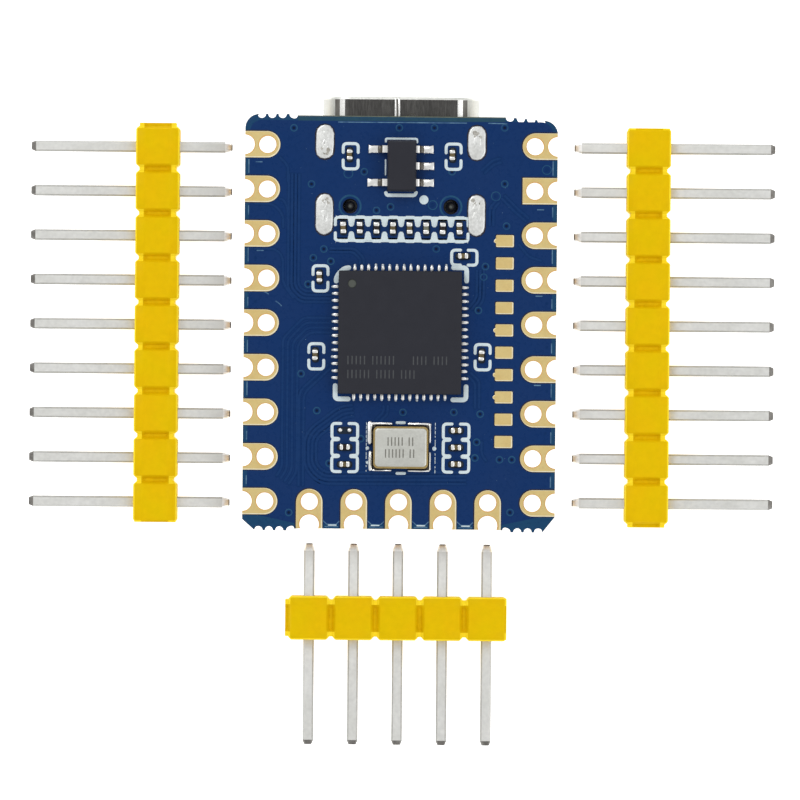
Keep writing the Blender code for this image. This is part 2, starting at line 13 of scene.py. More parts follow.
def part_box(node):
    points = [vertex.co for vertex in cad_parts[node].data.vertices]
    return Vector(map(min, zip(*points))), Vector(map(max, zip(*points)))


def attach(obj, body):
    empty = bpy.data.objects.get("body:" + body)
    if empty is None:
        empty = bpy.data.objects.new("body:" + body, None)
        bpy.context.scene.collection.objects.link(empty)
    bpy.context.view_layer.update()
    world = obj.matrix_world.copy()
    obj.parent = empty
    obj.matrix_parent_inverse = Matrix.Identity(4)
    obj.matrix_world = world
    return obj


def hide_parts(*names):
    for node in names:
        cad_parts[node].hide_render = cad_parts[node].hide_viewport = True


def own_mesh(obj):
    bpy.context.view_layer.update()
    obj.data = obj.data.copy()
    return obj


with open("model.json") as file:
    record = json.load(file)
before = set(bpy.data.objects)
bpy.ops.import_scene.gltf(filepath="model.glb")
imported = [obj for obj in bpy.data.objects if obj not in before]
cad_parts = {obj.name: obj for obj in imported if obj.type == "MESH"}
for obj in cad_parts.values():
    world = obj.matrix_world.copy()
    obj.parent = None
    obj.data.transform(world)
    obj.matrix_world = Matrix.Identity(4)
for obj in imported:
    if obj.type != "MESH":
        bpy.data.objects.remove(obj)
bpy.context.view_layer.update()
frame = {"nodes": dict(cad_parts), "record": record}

MM = 0.001
pcb_low, pcb_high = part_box("pcb")
CENTRE = (pcb_low + pcb_high) / 2
TOP = pcb_high.z / MM
BOTTOM = pcb_low.z / MM
HALF_WIDTH = (pcb_high.x - pcb_low.x) / 2 / MM
HALF_LENGTH = (pcb_high.y - pcb_low.y) / 2 / MM
LAYER = 0.006  # a solder mask step over copper
SEAT = 0.02  # how far pads and solder stand above the board

# Plated holes and castellations
PITCH = 2.54
SIDE_COUNT = 9
END_COUNT = 5
ROW_X = 3 * PITCH
ROW_MIDDLE_Y = -0.06
END_ROW_Y = ROW_MIDDLE_Y - 4 * PITCH
HOLE = 0.49
CASTELLATION = 0.56
PLATING = 0.03
SIDE_CASTELLATION_OUT = 0.02  # its centre is this far outside the board's edge
END_CASTELLATION_IN = 0.23
PAD_HALF = 0.75

USB_LOW, USB_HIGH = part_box("usb_shell")
USB_FRONT = (USB_HIGH.y - CENTRE.y) / MM + 0.09  # the lip stands a little further out than the CAD's
USB_REAR = (USB_LOW.y - CENTRE.y) / MM
USB_HEIGHT = BOTTOM - 0.02
USB_MIDDLE = USB_HEIGHT / 2
USB_X = -0.03
LEG_X = 4.33
LEG_ROWS = ((10.27, 1.05, 2.0), (6.14, 1.0, 2.38))  # Y, width and length of the solder
PEG = (2.87, 6.62)
PEG_HOLE = 0.4

PIN = 0.62
HOUSING = 2.5
BLOCK = 2.1
SHORT_PIN = 3.0
LONG_PIN = 6.0

CORNER = 0.7
TAB_BITES = (6.16, 6.78, 7.37, 7.96)  # X of the small round bites where the tabs broke off
TAB_BITE = 0.235
SILK_LINE = 0.17
PAD_LIGHT_LEAN = (-0.03, 0.018)  # the gold is set off its rim to the left and up, so the rim shows as a painted highlight on the right and below, and the ring of painted shade on the left and above
LEFT_GROUP = (-3.09, -7.13)
RIGHT_GROUP = (3.25, -7.11)
SIDES = (-1, 1)
CORNERS = ((-1, -1), (-1, 1), (1, -1), (1, 1))

PICTURE_WIDTH = 45.55  # millimetres across the picture at the board's top
PICTURE_CENTRE = (0.037, -4.396)
ROLL = 0.49  # degrees that the camera is turned by, anticlockwise
LENS = 400.0
SENSOR = 36.0

rng = random.Random(4)


# ---------------------------------------------------------------- places
def place_of(node):
    """A CAD node's centre, in millimetres from the board's, and its size."""
    low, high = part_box(node)
    middle = ((low + high) / 2 - CENTRE) / MM
    return middle.x, middle.y, (high - low) / MM


def heights(node):
    return [corner.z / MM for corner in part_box(node)]


def row_places(count):
    return [PITCH * (i - (count - 1) / 2) for i in range(count)]


def hole_places():
    side = [(x, y + ROW_MIDDLE_Y) for x in (-ROW_X, ROW_X) for y in row_places(SIDE_COUNT)]
    return side + [(x, END_ROW_Y) for x in row_places(END_COUNT)]


# ---------------------------------------------------------------- outlines
def arc(centre, radius, first, last, steps):
    angles = [math.radians(first + (last - first) * i / steps) for i in range(steps + 1)]
    return [(centre[0] + radius * math.cos(a), centre[1] + radius * math.sin(a)) for a in angles]


def circle(centre, radius, steps=32):
    return arc(centre, radius, 0, 360, steps)[:-1]


def rounded(width, length, radius=0.0, x=0.0, y=0.0, steps=4):
    w, h = width / 2 - radius, length / 2 - radius
    corners = ((x + w, y + h), (x - w, y + h), (x - w, y - h), (x + w, y - h))
    if not radius:
        return list(corners)
    points = []
    for quarter, corner in enumerate(corners):
        points += arc(corner, radius, 90 * quarter, 90 * quarter + 90, steps)
    return distinct(points)


def distinct(points, apart=1e-5):
    pairs = zip(points, points[-1:] + points[:-1])
    return [p for p, before in pairs if math.dist(p, before) > apart]


def offset(points, distance, closed=False):
    """The path moved to its left, which is inwards for an anticlockwise outline."""
    path = [Vector(p) for p in points]
    moved = []
    for i, here in enumerate(path):
        steps = []
        if closed or i:
            steps.append(here - path[i - 1])
        if closed or i + 1 < len(path):
            steps.append(path[(i + 1) % len(path)] - here)
        normals = [Vector((-step.y, step.x)).normalized() for step in steps]
        normal = sum(normals, Vector((0, 0))).normalized()
        moved.append(tuple(here + normal * distance / max(0.5, normal.dot(normals[0]))))
    return moved


def softened(points, radius, steps=5):
    """The path with its inner corners rounded."""
    smooth = [points[0]]
    for before, here, after in zip(points, points[1:], points[2:]):
        here = Vector(here)
        back, on = Vector(before) - here, Vector(after) - here
        cut = min(radius, back.length / 2, on.length / 2)
        start, end = here + back.normalized() * cut, here + on.normalized() * cut
        for k in range(steps + 1):
            t = k / steps
            smooth.append(tuple(start * (1 - t) ** 2 + here * 2 * t * (1 - t) + end * t * t))
    return smooth + [points[-1]]


def stroke(points, width, radius=0.0):
    """The outline of a pen stroke with round ends."""
    path = softened(points, radius) if radius else list(points)
    half = width / 2
    right, left = offset(path, -half), offset(path, half)
    out = math.degrees(math.atan2(path[-1][1] - path[-2][1], path[-1][0] - path[-2][0]))
    back = math.degrees(math.atan2(path[0][1] - path[1][1], path[0][0] - path[1][0]))
    ends = arc(path[-1], half, out - 90, out + 90, 6), arc(path[0], half, back - 90, back + 90, 6)
    return distinct(right[:-1] + ends[0] + left[-2:0:-1] + ends[1])


def moved(points, x, y):
    return [(x + a, y + b) for a, b in points]


def turned_about(points, degrees, x=0.0, y=0.0):
    c, s = math.cos(math.radians(degrees)), math.sin(math.radians(degrees))
    return [(x + a * c - b * s, y + a * s + b * c) for a, b in points]


def notched(start, end, axis, notches):
    """One straight edge, with round notches cut into its left side: place on the axis, radius and inset."""
    along = (Vector(end) - Vector(start)).normalized()
    inward = Vector((-along.y, along.x))
    points = [start]
    for distance, radius, inset in sorted((abs(at - start[axis]), *cut) for at, *cut in notches):
        lean = math.degrees(math.asin(inset / radius))
        steps = 24 if radius > 0.4 else 12
        for a, b in arc((distance, inset), radius, 180 + lean, -lean, steps):
            points.append(tuple(Vector(start) + along * a + inward * b))
    return points + [end]


def board_outline(margin=0.0, grow=0.0, bites=True, foot_cuts=((0.5, 0.68), (0.75, 0.68))):
    """The board's edge, anticlockwise from its lower left corner, moved in by a margin."""
    w, h = HALF_WIDTH - margin, HALF_LENGTH - margin
    (left_up, left_in), (right_up, right_in) = foot_cuts
    tabs = [(side * x, TAB_BITE, -margin * 0.5) for side in SIDES for x in TAB_BITES if bites]
    radius = CASTELLATION + PLATING + grow
    ends = [(x, radius, END_CASTELLATION_IN - margin) for x in row_places(END_COUNT)]
    sides = [(y + ROW_MIDDLE_Y, radius, -SIDE_CASTELLATION_OUT - margin) for y in row_places(SIDE_COUNT)]
    points = notched((-w + left_in, -h), (w - right_in, -h), 0, tabs + ends)
    points += notched((w, -h + right_up), (w, h - CORNER), 1, sides)
    points += arc((w - CORNER, h - CORNER), CORNER, 0, 90, 8)
    points += notched((w - CORNER, h), (CORNER - w, h), 0, tabs)
    points += arc((CORNER - w, h - CORNER), CORNER, 90, 180, 8)
    points += notched((-w, h - CORNER), (-w, -h + left_up), 1, sides)
    return distinct([snapped(x, y) for x, y in points] if bites else points)


def snapped(x, y):
    """Moves a point of the outline to where the tabs broke off, which isn't quite on the straight edge."""
    near = min(1.0, max(0.0, (abs(x) - 5.85) / 0.35))
    if y < -11.3:
        longer = 0.14 if -6.95 < x < -6.6 and y < -11.65 else 0.0
        return x, y - 0.13 * near * min(1.0, (HALF_WIDTH - abs(x)) / 0.9) - longer
    if y > 10.9 and x > 0:
        return x, y - 0.24 * max(0.0, (x - 6.1) / 2.8)
    if y > 11.3:
        return x, y + 0.09 * near * min(1.0, (HALF_WIDTH - abs(x)) / 0.9)
    return x, y


def drills(grow=0.0):
    """The outlines of the board's holes."""
    holes = [circle(at, HOLE + PLATING + grow) for at in hole_places()]
    for side in SIDES:
        for (y, _, _), length in zip(LEG_ROWS, (1.5, 1.9)):
            reach = (length - 0.6) / 2
            x = USB_X + side * LEG_X
            holes.append(stroke([(x, y - reach), (x, y + reach)], 0.6))
        holes.append(circle((USB_X + side * PEG[0], PEG[1]), PEG_HOLE + grow))
    return holes


def flipped(outline, under):
    """The outline as seen from below, when under is true."""
    return [(x, -y) for x, y in reversed(outline)] if under else outline


def flipped_all(outlines, under):
    return [flipped(outline, under) for outline in outlines]


# ---------------------------------------------------------------- solids
def ring_of(bm, points, z):
    return [bm.verts.new((x, y, z)) for x, y in points]


def wall(bm, lower, upper, mat):
    for i in range(len(lower)):
        j = (i + 1) % len(lower)
        bm.faces.new((lower[i], lower[j], upper[j], upper[i])).material_index = mat


def cap(bm, outer, inner, mat):
    """Fills a ring of vertices, leaving out the inner rings."""
    if not inner:
        bm.faces.new(outer).material_index = mat
        return
    rings = [outer, *inner]
    edges = [bm.edges.get((ring[i - 1], ring[i])) for ring in rings for i in range(len(ring))]
    filled = bmesh.ops.triangle_fill(bm, edges=edges, use_beauty=True)
    for item in filled["geom"]:
        if isinstance(item, bmesh.types.BMFace):
            item.material_index = mat


def plate(bm, outline, low, high, mat=0, holes=(), bevel=None, rim=None, side=None):
    """A flat solid with holes. Its upper edge may be bevelled, as (across, down), in the rim's material."""
    side = mat if side is None else side
    across, down = bevel or (0, 0)
    rings = [ring_of(bm, outline, low), ring_of(bm, outline, high - down)]
    wall(bm, *rings, side)
    if bevel:
        rings.append(ring_of(bm, offset(outline, across, True), high))
        wall(bm, *rings[1:], mat if rim is None else rim)
    bores = [(ring_of(bm, hole, low), ring_of(bm, hole, high)) for hole in holes]
    for bore in bores:
        wall(bm, *bore, side)
    cap(bm, rings[0], [bore[0] for bore in bores], side)
    cap(bm, rings[-1], [bore[1] for bore in bores], mat)


def per_band(mats, band):
    return mats[band] if isinstance(mats, (list, tuple)) else mats


def loft(bm, loops, mats=0, ends=(0, 0)):
    """A closed solid through loops of 3-D points, all with the same count."""
    rings = [[bm.verts.new(point) for point in loop] for loop in loops]
    for band, (lower, upper) in enumerate(zip(rings, rings[1:])):
        wall(bm, lower, upper, per_band(mats, band))
    for ring, mat in zip((rings[0], rings[-1]), ends):
        bm.faces.new(ring).material_index = mat


def turned(bm, profile, x=0.0, y=0.0, mats=0, steps=24, closed=False):
    """A solid of revolution from (radius, height) points, which end on the axis or form a closed loop."""
    rings = [ring_of(bm, circle((x, y), r, steps) if r else [(x, y)], z) for r, z in profile]
    bands = list(zip(rings, rings[1:] + rings[:1] if closed else rings[1:]))
    for band, (lower, upper) in enumerate(bands):
        for i in range(steps):
            places = ((lower, i), (lower, i + 1), (upper, i + 1), (upper, i))
            corners = [ring[k % len(ring)] for ring, k in places]
            bm.faces.new(list(dict.fromkeys(corners))).material_index = per_band(mats, band)


def mound(bm, outline, low, height, reach, mat=0, steps=5):
    """Solder on an outline: a rounded shoulder of that reach rising to the height."""
    rings = []
    for k in range(steps + 1):
        t = math.pi / 2 * k / steps
        shrunk = offset(outline, reach * (1 - math.cos(t)), True)
        rings.append(ring_of(bm, shrunk, low + height * math.sin(t)))
        if k:
            wall(bm, rings[-2], rings[-1], mat)
    cap(bm, rings[0], [], mat)
    cap(bm, rings[-1], [], mat)


def box(bm, low, high, mat=0, bevel=0.0):
    """A block, with all its upper edges bevelled."""
    width, length = high[0] - low[0], high[1] - low[1]
    outline = rounded(width, length, 0, (low[0] + high[0]) / 2, (low[1] + high[1]) / 2)
    plate(bm, outline, low[2], high[2], mat, bevel=(bevel, bevel) if bevel else None)


def face_outwards(bm):
    """Turns the faces of each closed shell outwards, which a shell of positive volume has."""
    bmesh.ops.recalc_face_normals(bm, faces=bm.faces[:])
    bm.normal_update()
    waiting = dict.fromkeys(bm.faces)
    while waiting:
        shell = [waiting.popitem()[0]]
        for face in shell:
            near = [other for edge in face.edges for other in edge.link_faces if other in waiting]
            for other in dict.fromkeys(near):
                del waiting[other]
                shell.append(other)
        volume = sum(face.calc_area() * face.normal.dot(face.verts[0].co) for face in shell)
        if volume < 0:
            bmesh.ops.reverse_faces(bm, faces=shell)


def piece(name, bm, mats, body="board", stands_for=(), at=(0, 0, 0), turn=0.0, under=False, sharp=32):
    """Makes the drawing a named object in metres that rides on a body, with the finishes named in mats.

    Under turns it to face down.
    """
    face_down = Matrix.Rotation(math.pi, 4, "X") if under else Matrix.Identity(4)
    shift = Matrix.Translation(Vector((CENTRE.x, CENTRE.y, 0)) + Vector(at) * MM)
    face_outwards(bm)
    bm.transform(shift @ Matrix.Rotation(math.radians(turn), 4, "Z") @ face_down @ Matrix.Scale(MM, 4))
    mesh = bpy.data.meshes.new(name)
    bm.to_mesh(mesh)
    bm.free()
    for finish in mats.split():
        mesh.materials.append(M[finish])
    mesh.shade_smooth()
    mesh.set_sharp_from_angle(angle=math.radians(sharp))
    obj = bpy.data.objects.new(name, mesh)
    bpy.context.scene.collection.objects.link(obj)
    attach(obj, body)
    if stands_for:
        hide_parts(*stands_for)
    return obj


# ---------------------------------------------------------------- materials
def srgb(r, g, b):
    """A linear colour from 0 to 255 display values."""
    shares = [value / 255 for value in (r, g, b)]
    return (*[s / 12.92 if s < 0.04 else ((s + 0.055) / 1.055) ** 2.4 for s in shares], 1.0)


def surface(name, colour, second, shine, mottle, grain, bump, stretch=(1, 1, 1)):
    """A procedural finish: two colours in large patches, fine grain, uneven gloss and relief.

    Shine is roughness, its variation, metallic and specular. Patches, grain and relief are each a number of
    cycles per millimetre and a strength, which is micrometres for the relief.
    """
    roughness, vary, metallic, specular = shine
    made = bpy.data.materials.new(name)
    made.use_nodes = True
    tree = made.node_tree
    shader = tree.nodes["Principled BSDF"]
    coords = tree.nodes.new("ShaderNodeTexCoord")
    scale = tree.nodes.new("ShaderNodeMapping")
    scale.inputs["Scale"].default_value = [s / MM for s in stretch]
    tree.links.new(coords.outputs["Object"], scale.inputs["Vector"])

    def noise(size, detail):
        made_noise = tree.nodes.new("ShaderNodeTexNoise")
        made_noise.inputs["Scale"].default_value = size
        made_noise.inputs["Detail"].default_value = detail
        tree.links.new(scale.outputs["Vector"], made_noise.inputs["Vector"])
        return made_noise.outputs["Fac"]

    def ranged(value, low, high, first=0.3, last=0.7):
        change = tree.nodes.new("ShaderNodeMapRange")
        for i, number in enumerate((first, last, low, high), start=1):
            change.inputs[i].default_value = number
        tree.links.new(value, change.inputs[0])
        return change.outputs[0]

    def mixed(kind, factor, first, other):
        mix = tree.nodes.new("ShaderNodeMix")
        mix.data_type = "RGBA"
        mix.blend_type = kind
        for socket, value in ((mix.inputs[0], factor), (mix.inputs[6], first), (mix.inputs[7], other)):
            if isinstance(value, bpy.types.NodeSocket):
                tree.links.new(value, socket)
            else:
                socket.default_value = value
        return mix.outputs[2]

    base = srgb(*colour)
    other = srgb(*second) if second else (*[c * 0.8 for c in base[:3]], 1.0)
    patches = mixed("MIX", ranged(noise(mottle[0], 3), 0, mottle[1]), base, other)
    fine = noise(grain[0], 4)
    speckled = mixed("MULTIPLY", 1.0, patches, ranged(fine, 1 - grain[1], 1 + grain[1]))
    tree.links.new(speckled, shader.inputs["Base Color"])
    tree.links.new(ranged(fine, roughness - vary, roughness + vary), shader.inputs["Roughness"])
    shader.inputs["Metallic"].default_value = metallic
    shader.inputs["Specular IOR Level"].default_value = specular
    relief = tree.nodes.new("ShaderNodeBump")
    relief.inputs["Distance"].default_value = bump[1] * 1e-6
    tree.links.new(noise(bump[0], 3), relief.inputs["Height"])
    tree.links.new(relief.outputs["Normal"], shader.inputs["Normal"])
    return made


# Each finish: its two colours, shine, patches, grain and relief
FINISHES = {
    "laminate": ((98, 104, 84), (74, 86, 80), (0.6, 0.08, 0, 0.5), (3, 0.8), (9, 0.25), (12, 4)),
    "mask": ((11, 47, 98), (19, 49, 97), (0.3, 0.08, 0, 0.1), (0.3, 0.9), (4, 0.03), (0.8, 0.5)),
    "mask_bare": ((22, 62, 100), (26, 68, 101), (0.32, 0.08, 0, 0.1), (0.8, 0.8), (5, 0.06), (1.5, 0.8)),
    "mask_edge": ((40, 74, 90), (32, 66, 92), (0.35, 0.08, 0, 0.1), (1, 0.9), (5, 0.08), (1.5, 0.8)),
    "mask_track": ((16, 51, 100), (20, 53, 100), (0.3, 0.08, 0, 0.1), (1.2, 0.9), (4, 0.04), (1.5, 0.5)),
    "mask_gap": ((9, 44, 92), (14, 46, 92), (0.3, 0.08, 0, 0.08), (1.2, 0.9), (4, 0.04), (1.5, 0.5)),
    # painted shade round pads and solder joints
    "mask_dark": ((50, 44, 50), (28, 34, 52), (0.5, 0.08, 0, 0.1), (2, 0.8), (14, 0.06), (14, 1)),
    # the dark mask opening under a chip, with the chip's painted shadow
    "chip_gap": ((34, 44, 56), (22, 32, 50), (0.5, 0.08, 0, 0.1), (4, 0.8), (14, 0.06), (14, 1)),
    "mask_line": ((96, 132, 158), (44, 82, 120), (0.4, 0.08, 0, 0.2), (2.5, 0.95), (9, 0.15), (14, 1)),
    "speck": ((110, 136, 162), (60, 92, 128), (0.5, 0.08, 0, 0.2), (0.4, 0.9), (14, 0.06), (14, 1)),
    "via_ring": ((38, 82, 112), (24, 66, 104), (0.35, 0.08, 0, 0.1), (1.4, 0.8), (14, 0.06), (14, 1)),
    "via_hole": ((8, 26, 54), None, (0.4, 0.08, 0, 0.08), (2, 0.4), (14, 0.06), (14, 1)),
    # painted shade inside a hole
    "hole_dark": ((10, 14, 24), None, (0.6, 0.08, 0, 0.08), (3, 0.4), (14, 0.06), (14, 1)),
    "silk": ((214, 226, 229), (200, 216, 222), (0.62, 0.08, 0, 0.2), (3.5, 0.9), (16, 0.05), (16, 2)),
    "gold": ((221, 200, 140), (216, 190, 128), (0.5, 0.08, 1, 0.5), (1.3, 0.9), (18, 0.05), (14, 0.4)),
    # gold painted as a highlight on the pads' rims
    "gold_rim": ((244, 236, 208), (238, 226, 190), (0.5, 0.08, 1, 0.5), (3, 0.9), (14, 0.05), (14, 0.4)),
    "gold_warm": ((228, 190, 120), (216, 164, 96), (0.45, 0.08, 1, 0.5), (2, 0.9), (14, 0.08), (12, 1)),
    "solder": ((234, 235, 233), (218, 219, 216), (0.42, 0.08, 1, 0.5), (1.6, 0.9), (8, 0.05), (3, 2.5)),
    "solder_dull": ((196, 202, 206), (160, 170, 176), (0.45, 0.08, 0.9, 0.5), (3, 0.9), (12, 0.1), (5, 2)),
    "chip_foot": ((92, 94, 92), (60, 64, 68), (0.5, 0.08, 0.8, 0.5), (3, 0.9), (12, 0.12), (5, 2)),
    "flux_stain": ((150, 146, 136), (196, 194, 188), (0.55, 0.08, 0.5, 0.5), (5, 0.95), (12, 0.2), (8, 6)),
    "tin": ((246, 246, 244), (234, 234, 230), (0.3, 0.04, 1, 0.5), (3, 0.8), (12, 0.04), (4, 0.8)),
    # tin painted darker as shade, also used for dark flecks in the solder
    "tin_dark": ((104, 98, 88), (78, 74, 68), (0.35, 0.08, 1, 0.5), (3, 0.8), (12, 0.1), (5, 1)),
    "epoxy": ((44, 45, 52), (41, 42, 49), (0.62, 0.08, 0, 0.15), (1.2, 0.8), (20, 0.12), (22, 1.5)),
    "etched": ((80, 82, 84), (66, 68, 72), (0.75, 0.08, 0, 0.15), (6, 0.9), (24, 0.14), (24, 2)),
    "dimple": ((82, 86, 81), (76, 79, 75), (0.5, 0.08, 0, 0.2), (3, 0.8), (20, 0.06), (14, 1)),
    "capacitor": ((112, 98, 68), (84, 74, 50), (0.45, 0.08, 0, 0.2), (3, 0.9), (18, 0.1), (14, 1)),
    "resistor": ((32, 24, 24), (48, 38, 34), (0.4, 0.08, 0, 0.2), (4, 0.8), (18, 0.12), (14, 1)),
    "inductor": ((126, 128, 112), (104, 104, 92), (0.5, 0.08, 0, 0.2), (3, 0.9), (18, 0.1), (14, 1)),
    "ceramic": ((30, 28, 28), (44, 42, 40), (0.6, 0.08, 0, 0.2), (2, 0.8), (14, 0.12), (14, 2)),
    "crystal_ring": ((188, 166, 112), (166, 142, 92), (0.46, 0.08, 1, 0.5), (1.6, 0.9), (14, 0.08), (8, 1)),
    "crystal_lid": ((206, 207, 201), (190, 190, 183), (0.46, 0.08, 1, 0.5), (0.8, 0.8), (12, 0.05),
                    (5, 0.8)),
    "lid_mark": ((118, 117, 111), (134, 133, 126), (0.6, 0.08, 0.3, 0.2), (6, 0.9), (16, 0.12), (14, 1)),
    "steel": ((98, 97, 95), (76, 75, 74), (0.26, 0.06, 1, 0.5), (0.5, 0.9), (3, 0.22), (2, 0.4)),
    # the next four: the shell's steel painted as it is lit, the lip and a band as highlights, the rounded
    # side as lit, and a line as shade
    "steel_lip": ((220, 221, 216), (232, 232, 227), (0.4, 0.08, 1, 0.5), (2, 0.8), (10, 0.06), (8, 0.6)),
    "steel_side": ((211, 212, 207), (202, 203, 198), (0.45, 0.08, 1, 0.5), (2, 0.8), (10, 0.08), (8, 0.6)),
    "steel_band": ((250, 250, 248), (236, 236, 232), (0.3, 0.08, 1, 0.5), (5, 0.9), (10, 0.06), (6, 0.8)),
    "steel_line": ((108, 106, 102), (128, 126, 122), (0.4, 0.08, 1, 0.5), (2, 0.8), (10, 0.08), (8, 0.6)),
    "insulator": ((26, 26, 28), (36, 36, 38), (0.5, 0.08, 0, 0.3), (1.5, 0.8), (12, 0.12), (14, 2)),
    "led_body": ((236, 236, 230), (222, 222, 214), (0.45, 0.08, 0, 0.5), (1, 0.8), (12, 0.04), (12, 2)),
    "led_die": ((196, 180, 96), (150, 160, 120), (0.3, 0.08, 0.6, 0.5), (5, 0.9), (14, 0.06), (14, 1)),
    "switch_base": ((34, 34, 36), None, (0.5, 0.08, 0, 0.4), (1.5, 0.8), (12, 0.12), (14, 3)),
    "switch_cover": ((216, 216, 214), (194, 194, 192), (0.26, 0.08, 1, 0.5), (1, 0.8), (4, 0.08), (4, 0.8)),
    "dome": ((200, 200, 198), None, (0.24, 0.08, 1, 0.5), (1.5, 0.7), (8, 0.08), (8, 0.8)),
    "button": ((222, 220, 210), (206, 204, 194), (0.42, 0.08, 0, 0.5), (1.2, 0.8), (12, 0.05), (14, 2)),
    "yellow": ((225, 189, 0), (231, 184, 3), (0.45, 0.08, 0, 0.05), (0.5, 0.8), (3, 0.03), (5, 2)),
    # the next two: yellow painted darker as shade in the troughs, and lighter as a highlight on slopes and
    # edges
    "yellow_groove": ((226, 186, 0), (216, 174, 0), (0.5, 0.08, 0, 0.05), (0.8, 0.8), (4, 0.05), (7, 3)),
    "yellow_bright": ((252, 224, 44), (250, 212, 24), (0.4, 0.08, 0, 0.1), (0.8, 0.8), (4, 0.05), (7, 3)),
    "pin": ((232, 232, 229), (222, 222, 217), (0.42, 0.05, 1, 0.5), (0.5, 0.9), (5, 0.04), (2, 0.4)),
    # pin metal painted darker as shade on its side faces
    "pin_edge": ((206, 206, 203), (190, 190, 186), (0.5, 0.08, 1, 0.5), (0.6, 0.9), (6, 0.08), (3, 1)),
    "pin_end": ((140, 138, 134), (108, 105, 101), (0.5, 0.08, 1, 0.5), (3, 0.9), (10, 0.15), (10, 3)),
    # pin metal painted as a highlight on its taper
    "pin_bright": ((252, 252, 250), (244, 244, 241), (0.4, 0.08, 1, 0.5), (2.4, 0.9), (8, 0.1), (6, 1)),
    "led_lens": ((250, 248, 240), None, (0.08, 0.08, 0, 0.5), (1, 0.2), (10, 0.02), (3, 1)),
    "floor": ((246, 246, 246), (243, 243, 243), (0.85, 0.08, 0, 0.1), (0.02, 0.5), (0.4, 0.01), (1, 1)),
}
STRETCHED = {"laminate": (1, 1, 6), "steel": (4, 0.6, 4), "switch_cover": (6, 0.6, 6)}
CLEAR = 0.92
WHITE = (1, 1, 1, 1)
FLOOR_GLOW = 0.8  # a light table, so that the board's holes show white

M = {name: surface(name, *finish, STRETCHED.get(name, (1, 1, 1))) for name, finish in FINISHES.items()}
for name, setting, value in (("led_lens", "Transmission Weight", CLEAR), ("floor", "Emission Color", WHITE),
                             ("floor", "Emission Strength", FLOOR_GLOW)):
    M[name].node_tree.nodes["Principled BSDF"].inputs[setting].default_value = value


# ---------------------------------------------------------------- board and its plating
def make_board():
    """Laminate, solder mask on both faces, and the copper that shows as a step under the mask."""
    bm = bmesh.new()
    skin = 0.02
    plate(bm, board_outline(), BOTTOM + skin, TOP - skin, 0, drills())
    piece("pcb_laminate", bm, "laminate", stands_for=["pcb"])

    mask = [(x, y - 0.045 if y > 11.7 and abs(x) < 5.95 else y) for x, y in board_outline(margin=0.012)]
    pour = board_outline(0.26, 0.06, False, ((0.62, 2.9), (0.62, 2.9)))
    band = rounded(11.8, 0.27, 0.03, 0.0, HALF_LENGTH - 0.2)
    for name, under, face in (("top", False, TOP), ("under", True, -BOTTOM)):
        bm = bmesh.new()
        near, far = [flipped_all(drills(grow), under) for grow in (0.02, 0.06)]
        plate(bm, flipped(mask, under), face - skin, face, 0, near, (0.03, 0.01))
        plate(bm, flipped(pour, under), face, face + LAYER, 1, far, (0.05, 0.005))
        plate(bm, flipped(band, under), face, face + LAYER / 2, 2)
        piece(f"solder_mask_{name}", bm, "mask_bare mask mask_edge", under=under)


def pad_outline(grow, reach, castellation, square=False, shift=(0.0, 0.0)):
    """A pad round a hole at the origin that runs to the board's edge on +X and round the notch there."""
    half = PAD_HALF + grow
    x, y = shift
    left = x - half + 0.05
    inner = [(left, y + half), (left, y - half)] if square else arc((x + 0.03, y), half, 90, 270, 24)
    notch = notch_arc(CASTELLATION, reach, castellation)
    return distinct([(reach, y + half), *inner, (reach, y - half), *notch])


def notch_arc(radius, reach, castellation):
    """The part of a round notch's edge that is on the board, from its lower end to its upper end."""
    start = math.degrees(math.acos((reach - castellation) / radius))
    return arc((castellation, 0), radius, 360 - start, start, 24)


def notch_band(width, reach, castellation):
    """A band of that width round the notch."""
    outer, inner = [notch_arc(CASTELLATION + grow, reach, castellation) for grow in (width, 0)]
    return outer + inner[::-1]


def plated_pad(name, x, y, turn, reach, castellation, square=False):
    """Pads on both faces, the hole's barrel and the half barrel in the board's edge."""
    half = (TOP - BOTTOM) / 2
    lean = turned_about([PAD_LIGHT_LEAN], -turn)[0]
    # The layers: a ring of painted shade, shifted a little with the light; the rim, painted as a highlight;
    # and the gold, shifted so that the highlight shows on the right and below.
    layers = (
        (0.05, half, half + 2 * LAYER, 2, (lean[0] * 0.6, lean[1] * 0.6)),
        (0.0, half + LAYER, half + SEAT - 0.004, 1, (0.0, 0.0)),
        (-0.04, half + LAYER, half + SEAT, 0, lean),
    )
    bm = bmesh.new()
    for face in (1, -1):
        part = bmesh.new()
        for grow, low, high, mat, shift in layers:
            outline = pad_outline(grow, reach, castellation, square, shift)
            plate(part, outline, low, high, mat, [circle((0, 0), HOLE + 0.01 * (mat == 2))])
        lip = half + SEAT + 0.002
        lip_profile = [(HOLE, half), (HOLE, lip), (HOLE + 0.045, lip), (HOLE + 0.06, half)]
        turned(part, lip_profile, mats=3, steps=32, closed=True)
        plate(part, notch_band(0.05, reach, castellation), half, lip, 3)
        if face < 0:
            part.transform(Matrix.Rotation(math.pi, 4, "X"))
        merge(bm, part)
    plate(bm, circle((0, 0), HOLE + PLATING), -half, half, 3, [circle((0, 0), HOLE)])
    plate(bm, notch_band(PLATING, reach, castellation), -half, half, 3)
    mats = "gold gold_rim mask_dark gold_warm"
    piece(name, bm, mats, at=(x, y, (TOP + BOTTOM) / 2), turn=turn, sharp=50)


def merge(bm, part):
    """Adds one drawing to another and frees it."""
    mesh = bpy.data.meshes.new("part")
    part.to_mesh(mesh)
    part.free()
    bm.from_mesh(mesh)
    bpy.data.meshes.remove(mesh)


